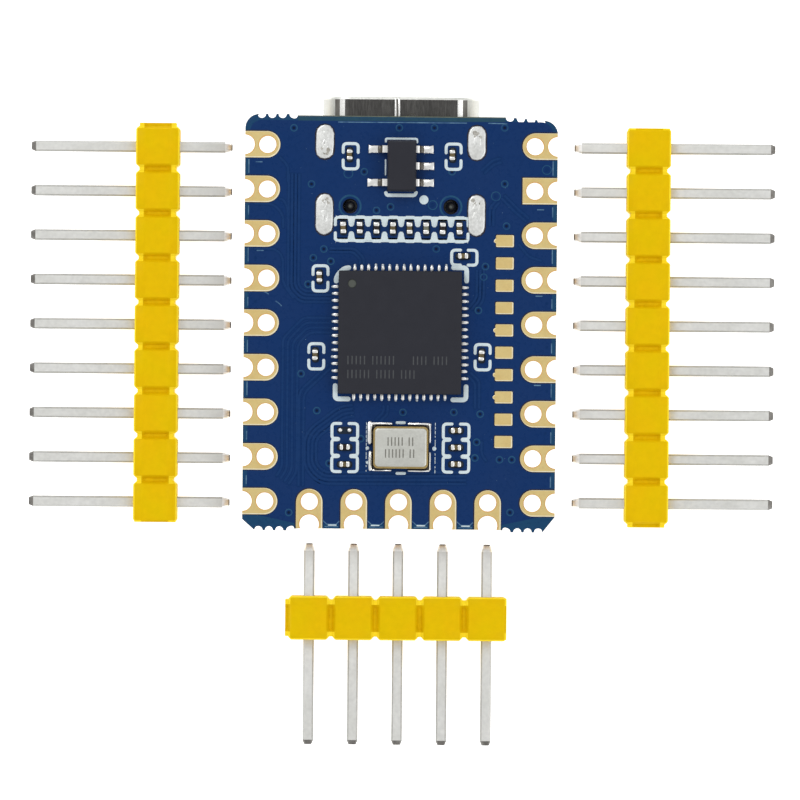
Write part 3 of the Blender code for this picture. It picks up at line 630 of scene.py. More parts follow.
def make_plated_pads():
    side_reach = HALF_WIDTH - ROW_X
    side_notch = side_reach + SIDE_CASTELLATION_OUT
    end_reach = HALF_LENGTH + END_ROW_Y
    end_notch = end_reach - END_CASTELLATION_IN
    for i, y in enumerate(reversed(row_places(SIDE_COUNT))):
        plated_pad(f"left_plated_pad_{i + 1}", -ROW_X, y + ROW_MIDDLE_Y, 180, side_reach, side_notch)
        plated_pad(f"right_plated_pad_{i + 1}", ROW_X, y + ROW_MIDDLE_Y, 0, side_reach, side_notch, i == 1)
    for i, x in enumerate(row_places(END_COUNT)):
        plated_pad(f"end_plated_pad_{i + 1}", x, END_ROW_Y, -90, end_reach, end_notch)


TEST_PAD_X = 5.94
TEST_PAD_FIRST_Y = 4.7
TEST_PAD_PITCH = 1.271
BUMPED_PADS = (0, 4, 6, 7)  # those with a track's stub on their left side


def make_test_pads():
    """The ten small pads in a column."""
    for i in range(10):
        bm = bmesh.new()
        x, y = TEST_PAD_X, TEST_PAD_FIRST_Y - TEST_PAD_PITCH * i
        # A ring of painted shade, shifted to the left and up, under the rim painted as a highlight and the
        # shifted gold.
        plate(bm, rounded(1.09, 0.76, 0.09, x - 0.01, y + 0.01), TOP, TOP + 2 * LAYER, 2)
        plate(bm, rounded(1.01, 0.68, 0.07, x, y), TOP + LAYER, TOP + SEAT - 0.004, 1)
        inner = rounded(0.94, 0.62, 0.06, x + PAD_LIGHT_LEAN[0], y + PAD_LIGHT_LEAN[1])
        plate(bm, inner, TOP + LAYER, TOP + SEAT, 0)
        if i in BUMPED_PADS:
            bump = stroke([(x - 0.4, y), (x - 0.5, y)], 0.26)
            # the stub's bevelled edge is painted as a highlight
            plate(bm, bump, TOP + LAYER, TOP + SEAT - 0.002, 0, bevel=(0.03, 0.006), rim=1)
        piece(f"test_pad_{i + 1}", bm, "gold gold_rim mask_dark")


VIAS = (
    (-6.0, 11.1), (0.0, 11.1), (2.0, 11.1), (6.0, 11.1), (-2.0, 8.6), (-5.0, 7.9), (3.0, 8.6), (6.0, 7.9),
    (-1.3, 6.4), (-0.5, 6.6), (6.1, 5.5), (-4.3, 4.2), (-4.9, 3.7), (-3.9, 3.5), (2.1, 4.2), (4.9, 3.2),
    (4.8, 2.6), (4.5, 0.7), (-5.2, 2.2), (-5.6, -2.9), (-4.7, -5.0), (0.2, -5.1), (3.1, -5.1), (4.6, -5.2),
    (-2.2, -6.6), (-4.0, -8.0), (4.4, -6.8), (4.3, -7.7), (5.7, -7.8), (6.4, -7.8), (-6.3, -10.8),
    (6.3, -10.8),
)
FLOODED_VIAS = ((-2.9, 8.5), (8.4, 8.7), (1.9, 6.7), (5.5, 7.2))
BURIED_VIAS = (
    (8.4, 1.1), (8.4, -1.4), (8.4, -3.9), (8.3, -6.3), (8.3, -8.8), (-8.2, 3.7), (-8.2, 1.2), (7.0, -2.0),
)
# Each kind: its places, its profile as (radius, height over the mask), its materials and its steps
VIA_KINDS = (
    (VIAS, ((0, 0.004), (0.08, 0.004), (0.1, 0.006), (0.155, 0.006), (0.17, 0.009), (0.205, 0.006),
            (0.22, -0.002), (0, -0.002)), (2, 1, 3, 0, 0, 0, 0), 20),
    (FLOODED_VIAS, ((0, 0.004), (0.09, 0.004), (0.13, 0.006), (0.23, 0.006), (0.25, 0.009),
                    (0.285, -0.002), (0, -0.002)), (1, 1, 3, 0, 0, 0), 20),
    (BURIED_VIAS, ((0, 0.003), (0.09, 0.002), (0.09, -0.002), (0, -0.002)), 1, 12),
)


def make_vias():
    """Vias under the mask: a dark hole in a soft ring, a fainter one with a wide ring, or a small dent."""
    bm = bmesh.new()
    for places, profile, mats, steps in VIA_KINDS:
        for x, y in places:
            raised = [(radius, TOP + LAYER + up) for radius, up in profile]
            turned(bm, raised, *unrolled(x, y), mats, steps)
    mats = "via_ring mask_gap via_hole mask"
    piece("tented_vias", bm, mats, sharp=60)


def unrolled(x, y):
    """Takes a place read off a view that is turned by the camera's roll to the board's own axes."""
    lean = math.radians(ROLL)
    return x - (y - PICTURE_CENTRE[1]) * lean, y + x * lean


# Each bus: its first track's corners, how many tracks run side by side, their pitch and corner radius
BUSES = (
    ([(-3.95, 1.75), (-5.45, 1.75), (-5.8, 2.1), (-5.8, 8.4)], 4, 0.2, 0.3),
    ([(-3.95, 0.25), (-5.5, 0.25), (-6.66, -0.95), (-6.66, -8.3), (-6.95, -8.75)], 4, 0.28, 0.3),
    ([(-4.1, -2.45), (-5.7, -3.95), (-5.7, -9.3)], 2, 0.25, 0.4),
    ([(-2.7, -4.7), (-3.4, -4.8), (-5.0, -6.0), (-5.38, -6.6), (-5.38, -8.2), (-4.9, -8.85), (-4.3, -9.2),
      (3.8, -9.15)], 4, 0.22, 0.5),
    ([(-6.9, 9.35), (-6.6, 9.05), (-6.45, 8.8), (-6.45, 8.0)], 1, 0.2, 0.2),
    ([(-6.9, 7.0), (-6.7, 6.95), (-6.45, 6.5), (-6.45, 5.9)], 1, 0.2, 0.2),
    ([(-8.3, 6.72), (-7.25, 6.72), (-6.7, 6.1), (-6.7, 5.4)], 1, 0.2, 0.4),
    ([(-8.3, 4.15), (-7.1, 4.15), (-6.7, 3.7), (-6.7, 2.2), (-6.1, 1.4)], 1, 0.2, 0.4),
    ([(-2.3, 3.35), (-2.3, 3.6), (-2.7, 4.0), (-4.0, 4.0)], 2, -0.2, 0.2),
    ([(3.95, 0.95), (4.35, 1.45), (4.35, 3.0)], 3, -0.2, 0.3),
    ([(4.6, 8.75), (5.2, 9.3), (5.6, 9.4)], 2, -0.24, 0.2),
    ([(5.75, 7.1), (6.5, 6.35), (7.1, 5.85)], 2, 0.24, 0.2),
    ([(5.05, 5.6), (5.05, 6.6), (5.4, 7.0)], 2, -0.22, 0.2),
    ([(6.75, 4.5), (7.3, 3.8), (8.0, 3.6)], 1, 0.2, 0.3),
    ([(4.7, -6.75), (4.7, -7.45), (4.95, -7.8)], 1, 0.2, 0.2),
    ([(-0.9, -4.75), (-0.9, -5.1), (-1.3, -5.5)], 2, 0.24, 0.2),
    ([(3.9, -3.0), (4.3, -3.4), (4.3, -4.8)], 2, 0.24, 0.2),
)


def line(bm, points, width, high, mat=0):
    """A plain line on the board's top."""
    plate(bm, stroke(points, width), TOP, high, mat)


def make_tracks():
    """Signal tracks, which show as faint lines with a darker gap at each side under the mask."""
    bm = bmesh.new()
    level = 0.0
    for points, count, pitch, radius in BUSES:
        for i in range(count):
            track = softened(offset(points, pitch * i), radius)
            level += 0.00003  # so that no two tracks lie in one plane
            line(bm, track, 0.24, TOP + LAYER + 0.001 + level, 1)
            plate(bm, stroke(track, 0.12), TOP, TOP + LAYER + 0.005 + level, bevel=(0.02, 0.003))
    piece("copper_tracks_top", bm, "mask_track mask_gap", sharp=60)


def make_pour_edges():
    """Where the copper pour ends beside the board's edges, the mask catches the light."""
    bm = bmesh.new()
    high = TOP + LAYER + 0.004
    for y in row_places(SIDE_COUNT - 1):
        middle = y + ROW_MIDDLE_Y + rng.uniform(-0.1, 0.1)
        for x in (-HALF_WIDTH + 0.22, HALF_WIDTH - 0.26):
            reach = rng.uniform(0.2, 0.42)
            line(bm, [(x, middle - reach), (x, middle + reach)], 0.06, high)
    for x in row_places(END_COUNT - 1):
        line(bm, moved([(-0.48, -11.3), (-0.26, -11.5), (0.26, -11.5), (0.48, -11.3)], x, 0), 0.05, high)
        bar = moved([(-0.22, -11.55), (0.22, -11.55)], x + rng.uniform(-0.06, 0.06), 0)
        line(bm, bar, 0.06, high + 0.001, 1)
        line(bm, moved([(-0.36, -11.64), (0.36, -11.64)], x, 0), 0.05, high - 0.001)
    for ends in ([(-3.6, 11.4), (3.7, 11.4)], [(4.95, 11.4), (6.0, 11.38)]):
        line(bm, ends, 0.055, high)
    for x, y in ((-8.1, 9.1), (7.95, 6.5), (7.9, 1.58), (7.85, -3.5), (-8.0, 4.05)):
        line(bm, [(x - 0.17, y), (x + 0.17, y)], 0.06, high)
    for scuff in (arc((-7.9, 1.1), 0.62, 50, 100, 6), arc((-7.6, 0.2), 1.1, 40, 62, 6)):
        line(bm, scuff, 0.05, high)
    piece("copper_pour_edges", bm, "mask_line silk", sharp=60)


def make_specks():
    """Specks of dust and flux on the mask."""
    bm = bmesh.new()
    for _ in range(90):
        x, y = rng.uniform(-6.6, 6.6), rng.uniform(-9.2, 11.2)
        profile = [(0, TOP), (rng.uniform(0.012, 0.03), TOP + 0.001), (0, TOP + LAYER + 0.012)]
        turned(bm, profile, x, y, 0, 6)
    piece("mask_specks", bm, "speck", sharp=60)


# ---------------------------------------------------------------- printed marks
def bracket_pair(x, y, turn=0, width=0.85, length=1.44):
    """The two facing brackets printed round one small chip."""
    w, h = width / 2, length / 2
    strokes = []
    for side in (1, -1):
        corner = [(-w, side * 0.22), (-w, side * h), (w, side * h), (w, side * 0.22)]
        strokes.append(stroke(turned_about(corner, turn, x, y), SILK_LINE, 0.22))
    return strokes


def group_brackets(x, y):
    """The merged brackets round a stack of three chips, with a gap down their middle."""
    strokes = []
    half, gap = 0.73, 0.24
    for side in SIDES:
        end = [(gap, 1.37), (half, 1.37), (half, 0.52), (0.42, 0.52)]
        middle = [(0.42, 0.44), (half, 0.44), (half, -0.44), (0.42, -0.44)]
        for cell in (end, middle, [(a, -b) for a, b in end]):
            strokes.append(stroke([(x + side * a, y + b) for a, b in cell], SILK_LINE, 0.2))
        for level in (0.48, -0.48):
            bar = [(side * 0.38, level), (side * (half - 0.16), level)]
            strokes.append(stroke(moved(bar, x, y), 0.24))
    return strokes


def chip_brackets():
    """The brackets round the six loose capacitors, all upright but for the third."""
    loose = [f"regulator_capacitor_{i + 1}" for i in range(2)] + [f"mcu_capacitor_{i + 1}" for i in range(4)]
    strokes = []
    for node in loose:
        x, y, _ = place_of(node)
        strokes += bracket_pair(x + 0.07, y - 0.09, 90 if node == "mcu_capacitor_1" else 0)
    return strokes


HALF_TOOTH = ((0.3, 0.0), (0.2, 0.114), (0.165, 0.285), (0.15, 0.418), (0.07, 0.513))


def row_band():
    """The band round the row of eight chips, with a tooth between each two from either side."""
    (left, y, _), (right, _, _) = place_of("row_capacitor_1"), place_of("row_capacitor_8")
    pitch = (right - left) / 7
    strokes = []
    for side, reach in ((1, 0.58), (-1, 0.72)):
        edge = y + side * reach
        close, shoulder = edge - side * 0.42, edge - side * 0.05
        ends = [(left - 0.44, close), (left - 0.44, shoulder), (left - 0.3, edge),
                (right + 0.36, edge), (right + 0.5, shoulder), (right + 0.5, close)]
        strokes.append(stroke(ends, SILK_LINE, 0.2))
        for i in range(8):
            bar = [(-0.2, side * 0.035), (0.2, side * 0.035)]
            strokes.append(stroke(moved(bar, left + pitch * i + 0.03, edge), 0.17))
        for i in range(7):
            x = left + pitch * (i + 0.5)
            flank = [(x + a, edge - side * b) for a, b in HALF_TOOTH]
            tooth = [(2 * x - a, b) for a, b in flank] + flank[::-1]
            strokes.append(tooth if side > 0 else tooth[::-1])
    return strokes


def mcu_corners():
    """Three square corner marks round the microcontroller, and a slanted one at its first pin."""
    x, y, size = place_of("mcu_chip")
    reach = size.x / 2 + 0.22
    slanted = [(-2.94, 3.67), (-3.18, 3.64), (-3.5, 3.36), (-3.65, 3.08), (-3.65, 2.9)]
    strokes = [stroke(moved(slanted, x, y), 0.27, 0.2)]
    for across, down, aside, lower in ((1, 1, 0.05, 0.0), (1, -1, 0.07, -0.08), (-1, -1, 0.06, -0.08)):
        corner = [(reach - 0.75, reach), (reach, reach), (reach, reach - 0.75)]
        corner = [(x + aside + across * a, y + lower + down * b) for a, b in corner]
        strokes.append(stroke(corner, 0.27, 0.2))
    return strokes


def regulator_frame():
    """Lines at the regulator's ends and side, and the dot at its first pin."""
    x, y, _ = place_of("voltage_regulator")
    lines = (
        ([(-0.92, 1.4), (-0.92, 1.56), (0.86, 1.56), (0.86, 1.36)], 0.12, 0.12),
        ([(-0.9, -1.52), (-0.84, -1.66), (0.74, -1.66), (0.82, -1.5)], 0.2, 0.12),
        ([(-0.93, 0.35), (-0.93, -0.5)], 0.08, 0),
    )
    strokes = [stroke(moved(points, x, y), width, radius) for points, width, radius in lines]
    return strokes + [circle((1.3, 7.01), 0.26, 20)]


def crystal_frame():
    """Bars at the crystal's long sides, dots and worn ticks at its ends, and its chips' brackets."""
    x, y, _ = place_of("crystal_base")
    bars = ([(-0.25, 1.41), (0.17, 1.41)], [(-0.24, -1.47), (0.2, -1.47)])
    outlines = [stroke(moved(bar, x, y), 0.16) for bar in bars]
    dots = ((-1.93, -0.05, 0.1), (1.88, -0.05, 0.12), (-1.9, -0.88, 0.09))
    outlines += [circle((x + a, y + b), radius, 12) for a, b, radius in dots]
    for side in SIDES:
        at = x - 0.03 + side * 1.96
        for i in range(12):
            level = y + 1.36 - 0.245 * i + rng.uniform(-0.03, 0.03)
            reach = rng.uniform(0.03, 0.09)
            outlines.append(stroke([(at, level - reach), (at, level + reach)], 0.035))
    return outlines + group_brackets(*LEFT_GROUP) + group_brackets(*RIGHT_GROUP)


def make_silkscreen():
    for mark in (chip_brackets, row_band, mcu_corners, regulator_frame, crystal_frame):
        bm = bmesh.new()
        for i, outline in enumerate(mark()):
            high = TOP + LAYER + 0.01 + 0.0003 * i  # so that no two marks lie in one plane
            plate(bm, outline, TOP, high, bevel=(0.015, 0.004))
        piece(f"silkscreen_{mark.__name__}", bm, "silk", sharp=60)


# ---------------------------------------------------------------- top side parts
def tick_row(bm, x, y, counts, pitch, z):
    """Groups of plain upright ticks, where the real part is marked."""
    for count in counts:
        for _ in range(count):
            plate(bm, stroke([(x, y - 0.215), (x, y + 0.215)], 0.07), z, z + 0.004, 1)
            x += pitch
        x += pitch


def make_mcu():
    x, y, size = place_of("mcu_chip")
    low, high = heights("mcu_chip")
    bm = bmesh.new()
    dimple = circle((x - 2.74, y + 2.76), 0.25, 24)
    plate(bm, rounded(size.x, size.y, 0.06, x, y), low, high, 0, [dimple], (0.05, 0.05))
    plate(bm, dimple, low, high - 0.05, 2, bevel=(0.03, 0.02))
    for a, b, counts in ((-2.94, -1.59, (5, 6)), (0.78, -1.59, (4, 4)), (-2.94, -2.38, (6, 5, 4))):
        tick_row(bm, x + a, y + b, counts, 0.235, high)
    piece("mcu_body", bm, "epoxy etched dimple", stands_for=["mcu_chip"])

    bm = bmesh.new()
    half, count, pitch = size.x / 2, 14, 0.4
    for quarter in range(4):
        for i in range(count):
            along = pitch * (i - (count - 1) / 2)
            drift = along + rng.uniform(-0.012, 0.012)
            tail = stroke([(drift, -half - 0.1), (drift, -half - rng.uniform(0.3, 0.36))], 0.16)
            mound(bm, turned_about(tail, 90 * quarter, x, y), TOP, 0.06, 0.04, 1, 3)
            bead = stroke([(drift, -half - 0.05), (drift, -half - rng.uniform(0.2, 0.28))], 0.2)
            mound(bm, turned_about(wavy(bead, 0.01), 90 * quarter, x, y), TOP, 0.1, 0.045, 0, 4)
    piece("mcu_solder", bm, "tin solder_dull", sharp=60)


def make_regulator():
    x, y, _ = place_of("voltage_regulator")
    low, high = heights("voltage_regulator")
    bm = bmesh.new()
    sections = ((0.08, low + 0.1), (0.0, low + 0.56), (0.0, low + 0.63), (0.07, high - 0.05), (0.12, high))
    loft(bm, [[(a, b, z) for a, b in rounded(1.66 - 2 * inset, 2.92 - 2 * inset, 0.05, x, y, 3)]
              for inset, z in sections])
    piece("regulator_body", bm, "epoxy", stands_for=["voltage_regulator"])

    leads, joints = bmesh.new(), bmesh.new()
    for side, rows, longer in ((-1, (-1, 1), 0.11), (1, (-1, 0, 1), 0.0)):
        path = [(0.6, 0.59), (1.0 + longer, 0.59), (1.18 + longer, 0.08), (1.5 + longer, 0.08)]
        section = stroke(softened(path, 0.12), 0.15)
        start = 1.2 + longer
        for row in rows:
            middle = y + row * 0.95
            ends = (middle - 0.2, middle + 0.2)
            loft(leads, [[(x + side * a, b, low + h) for a, h in section] for b in ends])
            length = rng.uniform(0.6, 0.68)
            half = 0.25 + rng.uniform(0.0, 0.03)
            upper = [(start + length, half), (start + length * 0.6, 0.22), (start, 0.2)]
            foot = [(a, -b) for a, b in upper[::-1]] + upper
            foot = [(x + side * a, middle + b) for a, b in foot[::side]]
            mound(joints, foot, TOP, 0.19, 0.07, 0, 4)
    leads.normal_update()
    # Faces that slope steeply across X, at each lead's bend, take tin painted darker as shade.
    for face in leads.faces:
        face.material_index = int(abs(face.normal.x) > 0.45)
    piece("regulator_leads", leads, "tin tin_dark", sharp=50)
    piece("regulator_solder", joints, "tin", sharp=60)


# The crystal's joints: side, end, the upright arm's place and width, and the level arm's
CRYSTAL_JOINTS = (
    (-1, 1, (1.75, 0.36), (1.345, 0.21)), (-1, -1, (1.72, 0.28), (1.3, 0.14)),
    (1, 1, (1.64, 0.2), (1.335, 0.2)), (1, -1, (1.65, 0.2), (1.32, 0.16)),
)
CRYSTAL_SHIFT = -0.03  # the package sits a little left of its pads


def make_crystal():
    x, y, base = place_of("crystal_base")
    x += CRYSTAL_SHIFT
    low, high = heights("crystal_base")
    _, lid_top = heights("crystal_lid")
    bm = bmesh.new()
    body = rounded(base.x - 0.14, base.y - 0.06, 0.16, x, y)
    plate(bm, body, low, high - 0.04, 0, bevel=(0.04, 0.04))
    for side in SIDES:
        plate(bm, rounded(0.14, 0.7, 0.03, x + side * (base.x / 2 - 0.07), y), low, high - 0.1, 0)
    piece("crystal_package", bm, "ceramic", stands_for=["crystal_base"])
    bm = bmesh.new()
    plate(bm, rounded(3.12, 2.39, 0.26, x, y, 6), high - 0.06, high + 0.03, bevel=(0.04, 0.03))
    piece("crystal_seal_ring", bm, "crystal_ring")
    bm = bmesh.new()
    outline = rounded(2.93, 2.17, 0.2, x, y, 6)
    plate(bm, outline, high + 0.02, lid_top - 0.012, 0, bevel=(0.05, 0.03))
    plate(bm, offset(outline, 0.07, True), lid_top - 0.03, lid_top - 0.004, 0, bevel=(0.03, 0.006))
    for row, counts, start in ((0.34, (5, 2), -0.72), (-0.34, (6, 2), -0.86)):
        tick_row(bm, x + start, y + row, counts, 0.2, lid_top - 0.005)
    mats = "crystal_lid lid_mark"
    piece("crystal_cover", bm, mats, stands_for=["crystal_lid"])

    bm = bmesh.new()
    for across, down, (upright, thick), (level, thin) in CRYSTAL_JOINTS:
        end = 1.34 if down > 0 else 1.24
        arm = [(x + across * upright, y + down * at) for at in (end, 0.8, 0.32)]
        mound(bm, wavy(stroke(arm, thick), 0.018), TOP, 0.3, 0.07, 0, 4)
        start = 0.56 if across < 0 else 0.46
        arm = [(x + across * at, y + down * level) for at in (1.6, 1.1, start)]
        mound(bm, wavy(stroke(arm, thin), 0.014), TOP, 0.24, 0.045, 0, 4)
        # A dark dome at each corner of the arms: tin painted darker as shade.
        post = rounded(0.17, 0.2, 0.07, x + across * 1.5, y + down * 1.16, 3)
        mound(bm, post, TOP, 0.5, 0.07, 1, 4)
    for _ in range(26):
        at = (x - 1.74 + rng.uniform(-0.1, 0.1), y - rng.uniform(0.3, 1.25))
        mound(bm, circle(at, rng.uniform(0.012, 0.03), 8), TOP + 0.28, 0.032, 0.01, 1, 2)
    piece("crystal_solder", bm, "tin tin_dark", sharp=60)


def wavy(points, amount):
    """The outline with a little unevenness, as solder has."""
    return [(x + rng.uniform(-amount, amount), y + rng.uniform(-amount, amount)) for x, y in points]


def make_chip(name, x, y, turn, kind, stands_for=(), in_row=False):
    """A two-terminal chip on its pads: body, wrapped ends and a solder fillet at each end."""
    bm = bmesh.new()
    seat = 0.02
    tilt = rng.uniform(-2, 2)
    reach, waist, cap_end = (0.33, 0.12, 0.3) if in_row else (0.4, 0.115, 0.26)
    # A dark patch under the chip, shifted a little down: the pads' mask opening with the chip's painted
    # shadow.
    plate(bm, rounded(0.9, 0.42, 0.16, 0.0, -0.02), LAYER, 2.4 * LAYER, 3)
    box(bm, (-0.2, -0.14, seat), (0.2, 0.14, 0.285), 0, 0.02)
    for side in SIDES:
        drift = rng.uniform(-0.012, 0.012)
        foot = rounded(reach - waist, 0.3, 0.12, side * (reach + waist) / 2, drift, 5)
        mound(bm, foot, 0, 0.17, 0.08, 2, 4)
        end = wavy(rounded(cap_end - waist + 0.03, 0.3, 0.06, side * (cap_end + waist) / 2, drift, 3), 0.008)
        plate(bm, end, 0, 0.32, 1, bevel=(0.025, 0.012))
    mats = f"{kind} tin chip_foot chip_gap"
    piece(name, bm, mats, stands_for=stands_for, at=(x, y, TOP), turn=turn + tilt, sharp=50)


CRYSTAL_CHIPS = (
    (*LEFT_GROUP, 0.03, "resistor"), (*LEFT_GROUP, -0.95, "capacitor"),
    (*RIGHT_GROUP, 1.01, "capacitor"), (*RIGHT_GROUP, 0.04, "capacitor"),
    (*RIGHT_GROUP, -0.91, "capacitor"),
)


def make_chips():
    for subpart in frame["record"]["subparts"]:
        node, slot = subpart["node"], subpart["material_slot"]
        if slot in ("capacitor", "resistor", "inductor"):
            x, y, size = place_of(node)
            turn = 90 if size.y > size.x else 0
            make_chip(f"{node}_part", x, y, turn, slot, [node], node.startswith("row"))
    for i, (x, y, up, kind) in enumerate(CRYSTAL_CHIPS):
        make_chip(f"crystal_{kind}_{i + 1}", x, y + up, 0, kind)
    bm = bmesh.new()
    x, y = LEFT_GROUP
    # The empty footprint's dark mask opening, in the same finish as under the chips.
    plate(bm, rounded(0.9, 0.42, 0.15, x, y + 0.98), TOP, TOP + 2.4 * LAYER, 1)
    for side in SIDES:
        mound(bm, circle((x + side * 0.26, y + 1.0), 0.13, 16), TOP, 0.1, 0.1, 0, 5)
    piece("empty_footprint_solder", bm, "tin chip_gap", sharp=60)


# ---------------------------------------------------------------- USB socket
# How the shell's wall turns over at its lip, as (inset, distance behind the front)
LIP = ((0.0, 0.17), (0.0, 0.13), (0.015, 0.06), (0.05, 0.015), (0.1, 0), (0.2, 0), (0.25, 0.015),
       (0.285, 0.06), (0.3, 0.13))
SHELL_WALL = LIP[-1][0]


def make_usb_shell():
    width = (USB_HIGH.x - USB_LOW.x) / MM
    bm = bmesh.new()
    lip = [(inset, USB_FRONT - behind) for inset, behind in LIP]
    stations = [(0, USB_REAR), *lip, (SHELL_WALL, USB_REAR)]
    rings = []
    for inset, y in stations:
        radius = USB_MIDDLE - inset - 0.02
        section = rounded(width - 2 * inset, USB_HEIGHT - 2 * inset, radius, USB_X, USB_MIDDLE, 16)
        rings.append([bm.verts.new((x, y, z)) for x, z in section])
    # The lip's turn-over is painted as a highlight.
    for i, (near, far) in enumerate(zip(rings, rings[1:] + rings[:1])):
        wall(bm, near, far, 1 if 1 <= i <= 8 else 0)
    # Where the shell rounds over at its sides, its steel is painted as it is lit: a highlight band, then a
    # line of shade, then the lit side.
    for face in bm.faces:
        middle_x = abs(face.calc_center_median().x)
        if face.material_index == 0 and middle_x > 3.2:
            face.material_index = 4 if middle_x < 3.52 else 3 if middle_x < 3.75 else 2
    for side in SIDES:
        for (y, _, _), length in zip(LEG_ROWS, (1.1, 1.5)):
            leg = rounded(0.28, length, 0.08, USB_X + side * LEG_X, y)
            plate(bm, leg, USB_MIDDLE, TOP + 0.08, 0, bevel=(0.06, 0.06))
    # Two seams painted as highlights, the floor between them painted as shade, and the lug's ring painted as
    # shade.
    low = USB_HEIGHT - 0.05
    for x in (-0.36, -0.15):
        seam = wavy(stroke([(x, 11.0), (x, 11.6), (x, 12.0), (x, USB_FRONT - 0.15)], 0.09), 0.008)
        plate(bm, seam, low, USB_HEIGHT + 0.012, 4, bevel=(0.02, 0.01))
    seam_floor = rounded(0.3, USB_FRONT - 11.3, 0.02, -0.255, (USB_FRONT + 11.0) / 2)
    plate(bm, seam_floor, low, USB_HEIGHT + 0.002, 3)
    lug = [(0.27, low), (0.29, USB_HEIGHT + 0.006), (0.33, USB_HEIGHT + 0.012), (0.37, low)]
    turned(bm, lug, 0.55, 11.63, 3, closed=True)
    mats = "steel steel_lip steel_side steel_line steel_band"
    piece("usb_socket_shell", bm, mats, stands_for=["usb_shell"], sharp=40)


def make_usb_contacts():
    """Twelve contacts on each face of the tongue, and sixteen tails soldered under the board."""
    refine(frame["nodes"]["usb_insulator"], "insulator", 0.04)
    bm = bmesh.new()
    for x in [0.5 * (i - 5.5) for i in range(12)]:
        for z in (USB_MIDDLE - 0.37, USB_MIDDLE + 0.34):
            box(bm, (x - 0.13, USB_REAR + 2.0, z), (x + 0.13, USB_FRONT - 0.75, z + 0.03), 0)
    piece("usb_contacts", bm, "gold")
    tails, joints = bmesh.new(), bmesh.new()
    for x in [0.42 * (i - 7.5) for i in range(16)]:
        low, high = (x - 0.1, USB_REAR - 0.55, BOTTOM - 0.12), (x + 0.1, USB_REAR + 0.1, BOTTOM - 0.03)
        box(tails, low, high, 0, 0.02)
        mound(joints, rounded(0.26, 0.7, 0.1, x, -(USB_REAR - 0.5), 3), -BOTTOM, 0.09, 0.1, 0, 3)
    piece("usb_contact_tails", tails, "tin")
    piece("usb_contact_solder", joints, "tin", under=True, sharp=60)


def leg_solder(name, x, y, across, along, stain_end):
    """A leg's joint: an uneven mound with ridges, flux stains at one end, and a mound under the board."""
    reach = (along - across) / 2
    bm = bmesh.new()
    oval = stroke([(x, y - reach), (x, y - reach / 3), (x, y + reach / 3), (x, y + reach)], across)
    mound(bm, wavy(oval, 0.022), TOP, 0.12, 0.1, 0, 6)
    for k in range(4):
        middle = y + reach * rng.uniform(-0.9, 0.9)
        start = (x + rng.uniform(-0.1, 0.1), middle - 0.1)
        ridge = stroke([start, (x, middle + 0.1)], rng.uniform(0.24, 0.44))
        mound(bm, wavy(ridge, 0.03), TOP + 0.1, 0.03 + 0.003 * k, 0.1, 0, 4)
    # A ring of painted shade round the joint's foot.
    plate(bm, offset(oval, -0.05, True), TOP, TOP + 2 * LAYER, 1)
    for k in range(7):
        at = (x + rng.uniform(-0.22, 0.22), y + stain_end * (reach + rng.uniform(-0.15, 0.2)))
        blot = wavy(circle(at, rng.uniform(0.06, 0.15), 12), 0.02)
        mound(bm, blot, TOP + 0.1, 0.028 + 0.002 * k, 0.05, 2, 3)
    lower = bmesh.new()
    mound(lower, flipped(oval, True), -BOTTOM, 0.12, 0.25, 0, 5)
    lower.transform(Matrix.Rotation(math.pi, 4, "X"))
    merge(bm, lower)
    piece(name, bm, "solder mask_dark flux_stain", sharp=60)


def make_leg_solder():
    for i, (y, across, along) in enumerate(LEG_ROWS):
        for side, word in ((-1, "left"), (1, "right")):
            stain_end = -1 if (i, side) == (0, -1) else 1
            name = f"usb_leg_solder_{word}_{i + 1}"
            leg_solder(name, USB_X + side * LEG_X, y, across, along, stain_end)


# Round each peg's hole, as (distance out from its wall, height over the mask)
PEG_RING = ((0.02, -0.004), (0.03, 0.003), (0.15, 0.004), (0.19, 0.006), (0.24, 0.006), (0.27, -0.004))


def make_peg_holes():
    """The holes of the socket's two pegs: ring, a lining painted dark as shade, and the peg's end painted
    dark as shade with a painted glint.
    """
    rings, linings = bmesh.new(), bmesh.new()
    z = TOP + LAYER
    for side in SIDES:
        at = (USB_X + side * PEG[0], PEG[1])
        ring = [(PEG_HOLE + out, z + up) for out, up in PEG_RING]
        turned(rings, ring, *at, (1, 1, 0, 0, 0, 1), 32, True)
        lining = [(PEG_HOLE - 0.015, BOTTOM + 0.02), (PEG_HOLE - 0.015, TOP - 0.01), (PEG_HOLE, z + 0.002),
                  (PEG_HOLE + 0.04, z + 0.002), (PEG_HOLE + 0.04, BOTTOM + 0.02)]
        turned(linings, lining, *at, 0, 32, True)
        # The peg's end, painted dark as shade, and a painted glint on it in the dimple finish.
        turned(linings, [(0, TOP - 0.5), (0.3, TOP - 0.5), (0.3, TOP - 0.26), (0, TOP - 0.26)], *at)
        glint = [(0, TOP - 0.3), (0.09, TOP - 0.19), (0.05, TOP - 0.17), (0, TOP - 0.17)]
        turned(linings, glint, *at, 1, 16)
    piece("usb_peg_hole_rings", rings, "via_ring mask_gap", sharp=60)
    piece("usb_peg_hole_linings", linings, "hole_dark dimple", sharp=60)


